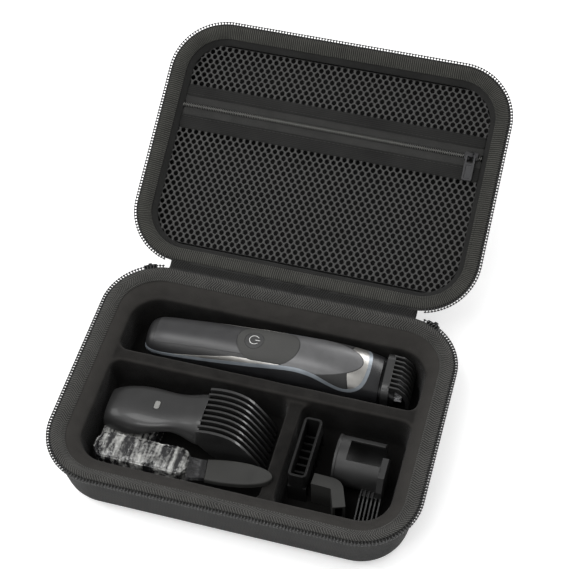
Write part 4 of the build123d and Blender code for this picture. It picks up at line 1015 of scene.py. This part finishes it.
# %% Hems and tape of the pocket's zip
coil_low, coil_high = lid_reach("pocket_coil")
zip_out = (coil_low[1] + coil_high[1]) / 2
coil_half = (coil_high[1] - coil_low[1]) / 2
sheet_up = coil_low[2]
hem_reach = rim_width / 2 - 12.8 * MM
for side, toward in (("lower", -1), ("upper", 1)):
    low, high = lid_reach(f"pocket_tape_{side}")
    hem_edge = low[1] if toward < 0 else high[1]
    tape = [
        (zip_out + toward * (coil_half - 0.35 * MM), sheet_up + 0.45 * MM),
        (zip_out + toward * (coil_half + 0.6 * MM), sheet_up + 0.95 * MM),
        (zip_out + toward * (coil_half + 7.5 * MM), sheet_up + 0.8 * MM),
        (zip_out + toward * (coil_half + 7.5 * MM), sheet_up + 0.15 * MM),
        (zip_out + toward * (coil_half + 0.4 * MM), sheet_up + 0.2 * MM),
    ]
    fold = [
        (zip_out + toward * (coil_half + 5.6 * MM), sheet_up + 0.35 * MM),
        (zip_out + toward * (coil_half + 5.2 * MM), sheet_up + 0.95 * MM),
        (zip_out + toward * (coil_half + 6.0 * MM), sheet_up + 1.35 * MM),
        ((zip_out + hem_edge) / 2 + toward * 3.0 * MM, sheet_up + 1.15 * MM),
        (hem_edge - toward * 1.2 * MM, sheet_up + 1.2 * MM),
        (hem_edge + toward * 0.3 * MM, sheet_up + 0.9 * MM),
        (hem_edge + toward * 0.2 * MM, sheet_up + 0.3 * MM),
        (hem_edge - toward * 1.0 * MM, sheet_up + 0.05 * MM),
        ((zip_out + hem_edge) / 2 + toward * 3.0 * MM, sheet_up + 0.05 * MM),
    ]
    if toward > 0:
        tape.reverse()
        fold.reverse()
    across_lid(f"pocket_zip_tape_{side}", tape, tape_cloth, (), hem_reach)
    hem_node = f"pocket_tape_{side}"
    across_lid(f"pocket_hem_{side}", fold, hem_cloth, [hem_node], hem_reach, ripple=0.3)
print("pocket zip is", round(2 * hem_reach / MM), "mm long")

# %% [markdown]
# The pocket's coil is finer than the main one, and paler, since its colour is a painted highlight. It
# is always shut here, so the loops of both sides are one piece.

# %% Coil of the pocket's zip
verts, faces = [], []
pocket_filament = 0.2 * MM
pocket_loop_pitch = 1.25 * MM
pocket_loops = int(hem_reach / pocket_loop_pitch)
lid_up = lid_place(0, 0, 1) - lid_place(0, 0, 0)
for loop in range(-pocket_loops, pocket_loops):
    for toward in (-1, 1):
        x = pocket_loop_pitch * (loop + 0.25 * toward)
        points = [
            lid_place(x, zip_out + toward * across * MM, sheet_up + up * MM)
            for across, up in ((1.3, 0.7), (1.1, 1.15), (0.6, 1.42), (0.0, 1.4), (-0.35, 1.1))
        ]
        add_tube(verts, faces, points, [pocket_filament] * len(points), 6, Vector((1, 0, 0)))
new_piece("pocket_zip_coil", coil_painted_highlight, verts, faces, "lid", ["pocket_coil"])
print(4 * pocket_loops, "loops in the pocket zip")

# %% [markdown]
# Thread shows along the binding and the hems. A stitch is a short thread that dives at both ends,
# so a pointed bead, repeated at the machine's stitch length, is enough.

# %% A row of stitches


def stitch_row(name, spots, body):
    """Stitches at (middle, along, up) spots."""
    dive = ((-1.15, 0.3), (-0.7, 0.02), (0.0, -0.06), (0.7, 0.02), (1.15, 0.3))
    thickness = [0.07 * MM, 0.15 * MM, 0.17 * MM, 0.15 * MM, 0.07 * MM]
    verts, faces = [], []
    for middle, along, rise in spots:
        points = [middle + along * share * MM - rise * dip * MM for share, dip in dive]
        add_tube(verts, faces, points, thickness, 5, rise)
    new_piece(name, stitch_thread, verts, faces, body, ())
    return len(spots)


# %% Stitches along the seams
stitch_length = 3.1 * MM
seam_inset = 7.9 * MM
seam_top = -2.12 * MM
hem_seam = 7.0 * MM
hem_top = 1.28 * MM
for half, place in halves:
    spots = []
    rise = (place(0, 0, 1) - place(0, 0, 0)).normalized()
    for stitch in range(int(rim_length / stitch_length)):
        x, out, normal_x, normal_out = rim_point(stitch * stitch_length)
        middle = place(x - normal_x * seam_inset, out - normal_out * seam_inset, seam_top)
        along = (place(x + normal_out * MM, out - normal_x * MM, 0.0) - place(x, out, 0.0)).normalized()
        spots.append((middle, along, rise))
    print(half, stitch_row(f"{half}_stitches", spots, half), "stitches")
spots = []
for out in (zip_out - coil_half - hem_seam, zip_out + coil_half + hem_seam):
    for stitch in range(int(2 * hem_reach / stitch_length)):
        middle = lid_place(-hem_reach + stitch * stitch_length, out, sheet_up + hem_top)
        spots.append((middle, Vector((1, 0, 0)), lid_up.normalized()))
print("pocket", stitch_row("pocket_stitches", spots, "lid"), "stitches")

# %% [markdown]
# The bag is thin clear film, crumpled round a spare comb. The model's outer skin gives its size.
# The solid's corners are joined first, because they come unjoined, and the skin is the widest group
# of joined faces. Folds run from front to back, and a cell pattern adds the flat facets of stiff
# film. Every vertex only moves inwards, so the bag stays in its place. The film gets a real
# thickness, because light has to pass two sides of it.

# %% Outer skin of the bag
bag_copy = bpy.data.objects.new("bag_copy", nodes["accessory_bag"].data.copy())
scene.collection.objects.link(bag_copy)
skin = bmesh.new()
skin.from_mesh(bag_copy.data)
bmesh.ops.remove_doubles(skin, verts=skin.verts, dist=0.01 * MM)
skin.verts.ensure_lookup_table()
groups, waiting = [], set(skin.verts)
while waiting:
    seed = next(iter(waiting))
    group, front = {seed}, [seed]
    while front:
        vertex = front.pop()
        for bag_edge in vertex.link_edges:
            other = bag_edge.other_vert(vertex)
            if other not in group:
                group.add(other)
                front.append(other)
    groups.append(group)
    waiting -= group
outer = max(groups, key=lambda group: max(v.co.x for v in group) - min(v.co.x for v in group))
bmesh.ops.delete(skin, geom=[v for v in skin.verts if v not in outer], context="VERTS")
skin.to_mesh(bag_copy.data)
skin.free()
print("skin has", len(bag_copy.data.polygons), "of", len(nodes["accessory_bag"].data.polygons), "faces")

# %% Crumpled film
even = bag_copy.modifiers.new("even", "REMESH")
even.mode = "VOXEL"
even.voxel_size = 0.9 * MM
bag_mesh = bpy.data.meshes.new_from_object(bag_copy.evaluated_get(bpy.context.evaluated_depsgraph_get()))
bpy.data.objects.remove(bag_copy)
bag_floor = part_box("accessory_bag")[0].z + 1.5 * MM
fold_width = 3.2 * MM
facet_size = 6.5 * MM
normals = [vertex.normal.copy() for vertex in bag_mesh.vertices]
for vertex, normal in zip(bag_mesh.vertices, normals):
    spot = vertex.co.copy()
    warp = noise.noise(spot / (10 * MM)) * 3 * MM
    bent = Vector(((spot.x + warp) / fold_width, spot.y / (30 * MM), spot.z / (24 * MM)))
    folds = abs(noise.noise(bent))
    distances, _ = noise.voronoi(spot / facet_size)
    facets = min(distances[1] - distances[0], 0.6)
    depth = (1.1 * folds + 0.9 * facets) * MM
    if normal.z > 0.6:
        depth += (0.8 + 0.8 * noise.noise(spot / (18 * MM))) * MM
    if spot.z < bag_floor:
        depth = 0.05 * MM
    vertex.co = spot - normal * depth

# %% Thickness and finish of the film
bag_mesh.materials.clear()
bag_mesh.materials.append(bag_film)
bag = bpy.data.objects.new("film_bag", bag_mesh)
scene.collection.objects.link(bag)
film_thickness = 0.12 * MM
film = bag.modifiers.new("film", "SOLIDIFY")
film.thickness = film_thickness
film.offset = -1.0
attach(bag, "accessory_bag")
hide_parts("accessory_bag")
print("bag has", len(bag_mesh.polygons), "faces")

# %% [markdown]
# The brush has nylon bristles in close rows. Each is a thin tapered thread that leans outwards a
# little towards its tip, by a seeded amount, so the tuft looks used but renders the same each time.
# The brush lies slightly turned, so rows and threads follow its own direction.

# %% Room for the tuft
brush_yaw = radians(7.0)
brush_along = Vector((cos(brush_yaw), sin(brush_yaw), 0.0))
brush_across = Vector((-sin(brush_yaw), cos(brush_yaw), 0.0))
tuft = [vertex.co for vertex in nodes["brush_bristles"].data.vertices]
tuft_tip, tuft_root = (pick(spot.dot(brush_along) for spot in tuft) for pick in (min, max))
tuft_near, tuft_far = (pick(spot.dot(brush_across) for spot in tuft) for pick in (min, max))
tuft_bottom, tuft_top = (pick(spot.z for spot in tuft) for pick in (min, max))
print("tuft is", round((tuft_root - tuft_tip) / MM, 1), "mm long")

# %% Bristles
chance = Random(11)
verts, faces = [], []
bristle_columns, bristle_rows = 42, 18
bristle_taper = [0.17 * MM, 0.16 * MM, 0.14 * MM, 0.07 * MM]
half_width = (tuft_far - tuft_near) / 2 - 0.3 * MM
half_height = (tuft_top - tuft_bottom) / 2 - 0.2 * MM
for column in range(bristle_columns):
    for row in range(bristle_rows):
        y = (2 * (column + 0.5) / bristle_columns - 1) + chance.uniform(-0.012, 0.012)
        z = (2 * (row + 0.5) / bristle_rows - 1) + chance.uniform(-0.03, 0.03)
        lean_y = 0.9 * y + chance.uniform(-0.5, 0.5)
        lean_z = 0.5 * z + chance.uniform(-0.4, 0.4)
        tip = tuft_tip - chance.uniform(-0.9, 0.3) * MM
        points = []
        for share in (0.0, 0.35, 0.7, 1.0):
            leaning = share * share * MM
            spot = brush_along * (tuft_root + (tip - tuft_root) * share)
            spot += brush_across * ((tuft_near + tuft_far) / 2 + y * half_width + lean_y * leaning)
            spot.z = (tuft_bottom + tuft_top) / 2 + z * half_height + lean_z * leaning
            points.append(spot)
        add_tube(verts, faces, points, bristle_taper, 4, Vector((0, 0, 1)))
new_piece("nylon_bristles", bristle_black, verts, faces, "brush", ["brush_bristles"])
print(bristle_columns * bristle_rows, "bristles")

# %% [markdown]
# The button carries the plain on and off symbol, printed in pale grey: a ring with a gap, and a bar
# through the gap. It is a hair above the button's face.

# %% Power symbol
button_low, button_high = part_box("power_button")
button_middle = (button_low + button_high) / 2
face_up = button_high.z + 0.01 * MM
ring_radius = 3.3 * MM
half_gap = 38
arc_steps = 28
verts, faces = [], []
arc = []
for step in range(arc_steps + 1):
    angle = radians(half_gap + (360 - 2 * half_gap) * step / arc_steps)
    arc.append(Vector((
        button_middle.x + ring_radius * cos(angle), button_middle.y + ring_radius * sin(angle), face_up,
    )))
add_tube(verts, faces, arc, [(0.22 * MM, 0.05 * MM)] * len(arc), 8, Vector((0, 0, 1)))
bar = [Vector((button_middle.x + reach * MM, button_middle.y, face_up)) for reach in (0.5, 2.2, 4.0)]
add_tube(verts, faces, bar, [(0.26 * MM, 0.05 * MM)] * len(bar), 8, Vector((0, 0, 1)))
new_piece("power_symbol", mark_white, verts, faces, "power_button")
print("symbol", round(2 * ring_radius / MM, 1), "mm wide")
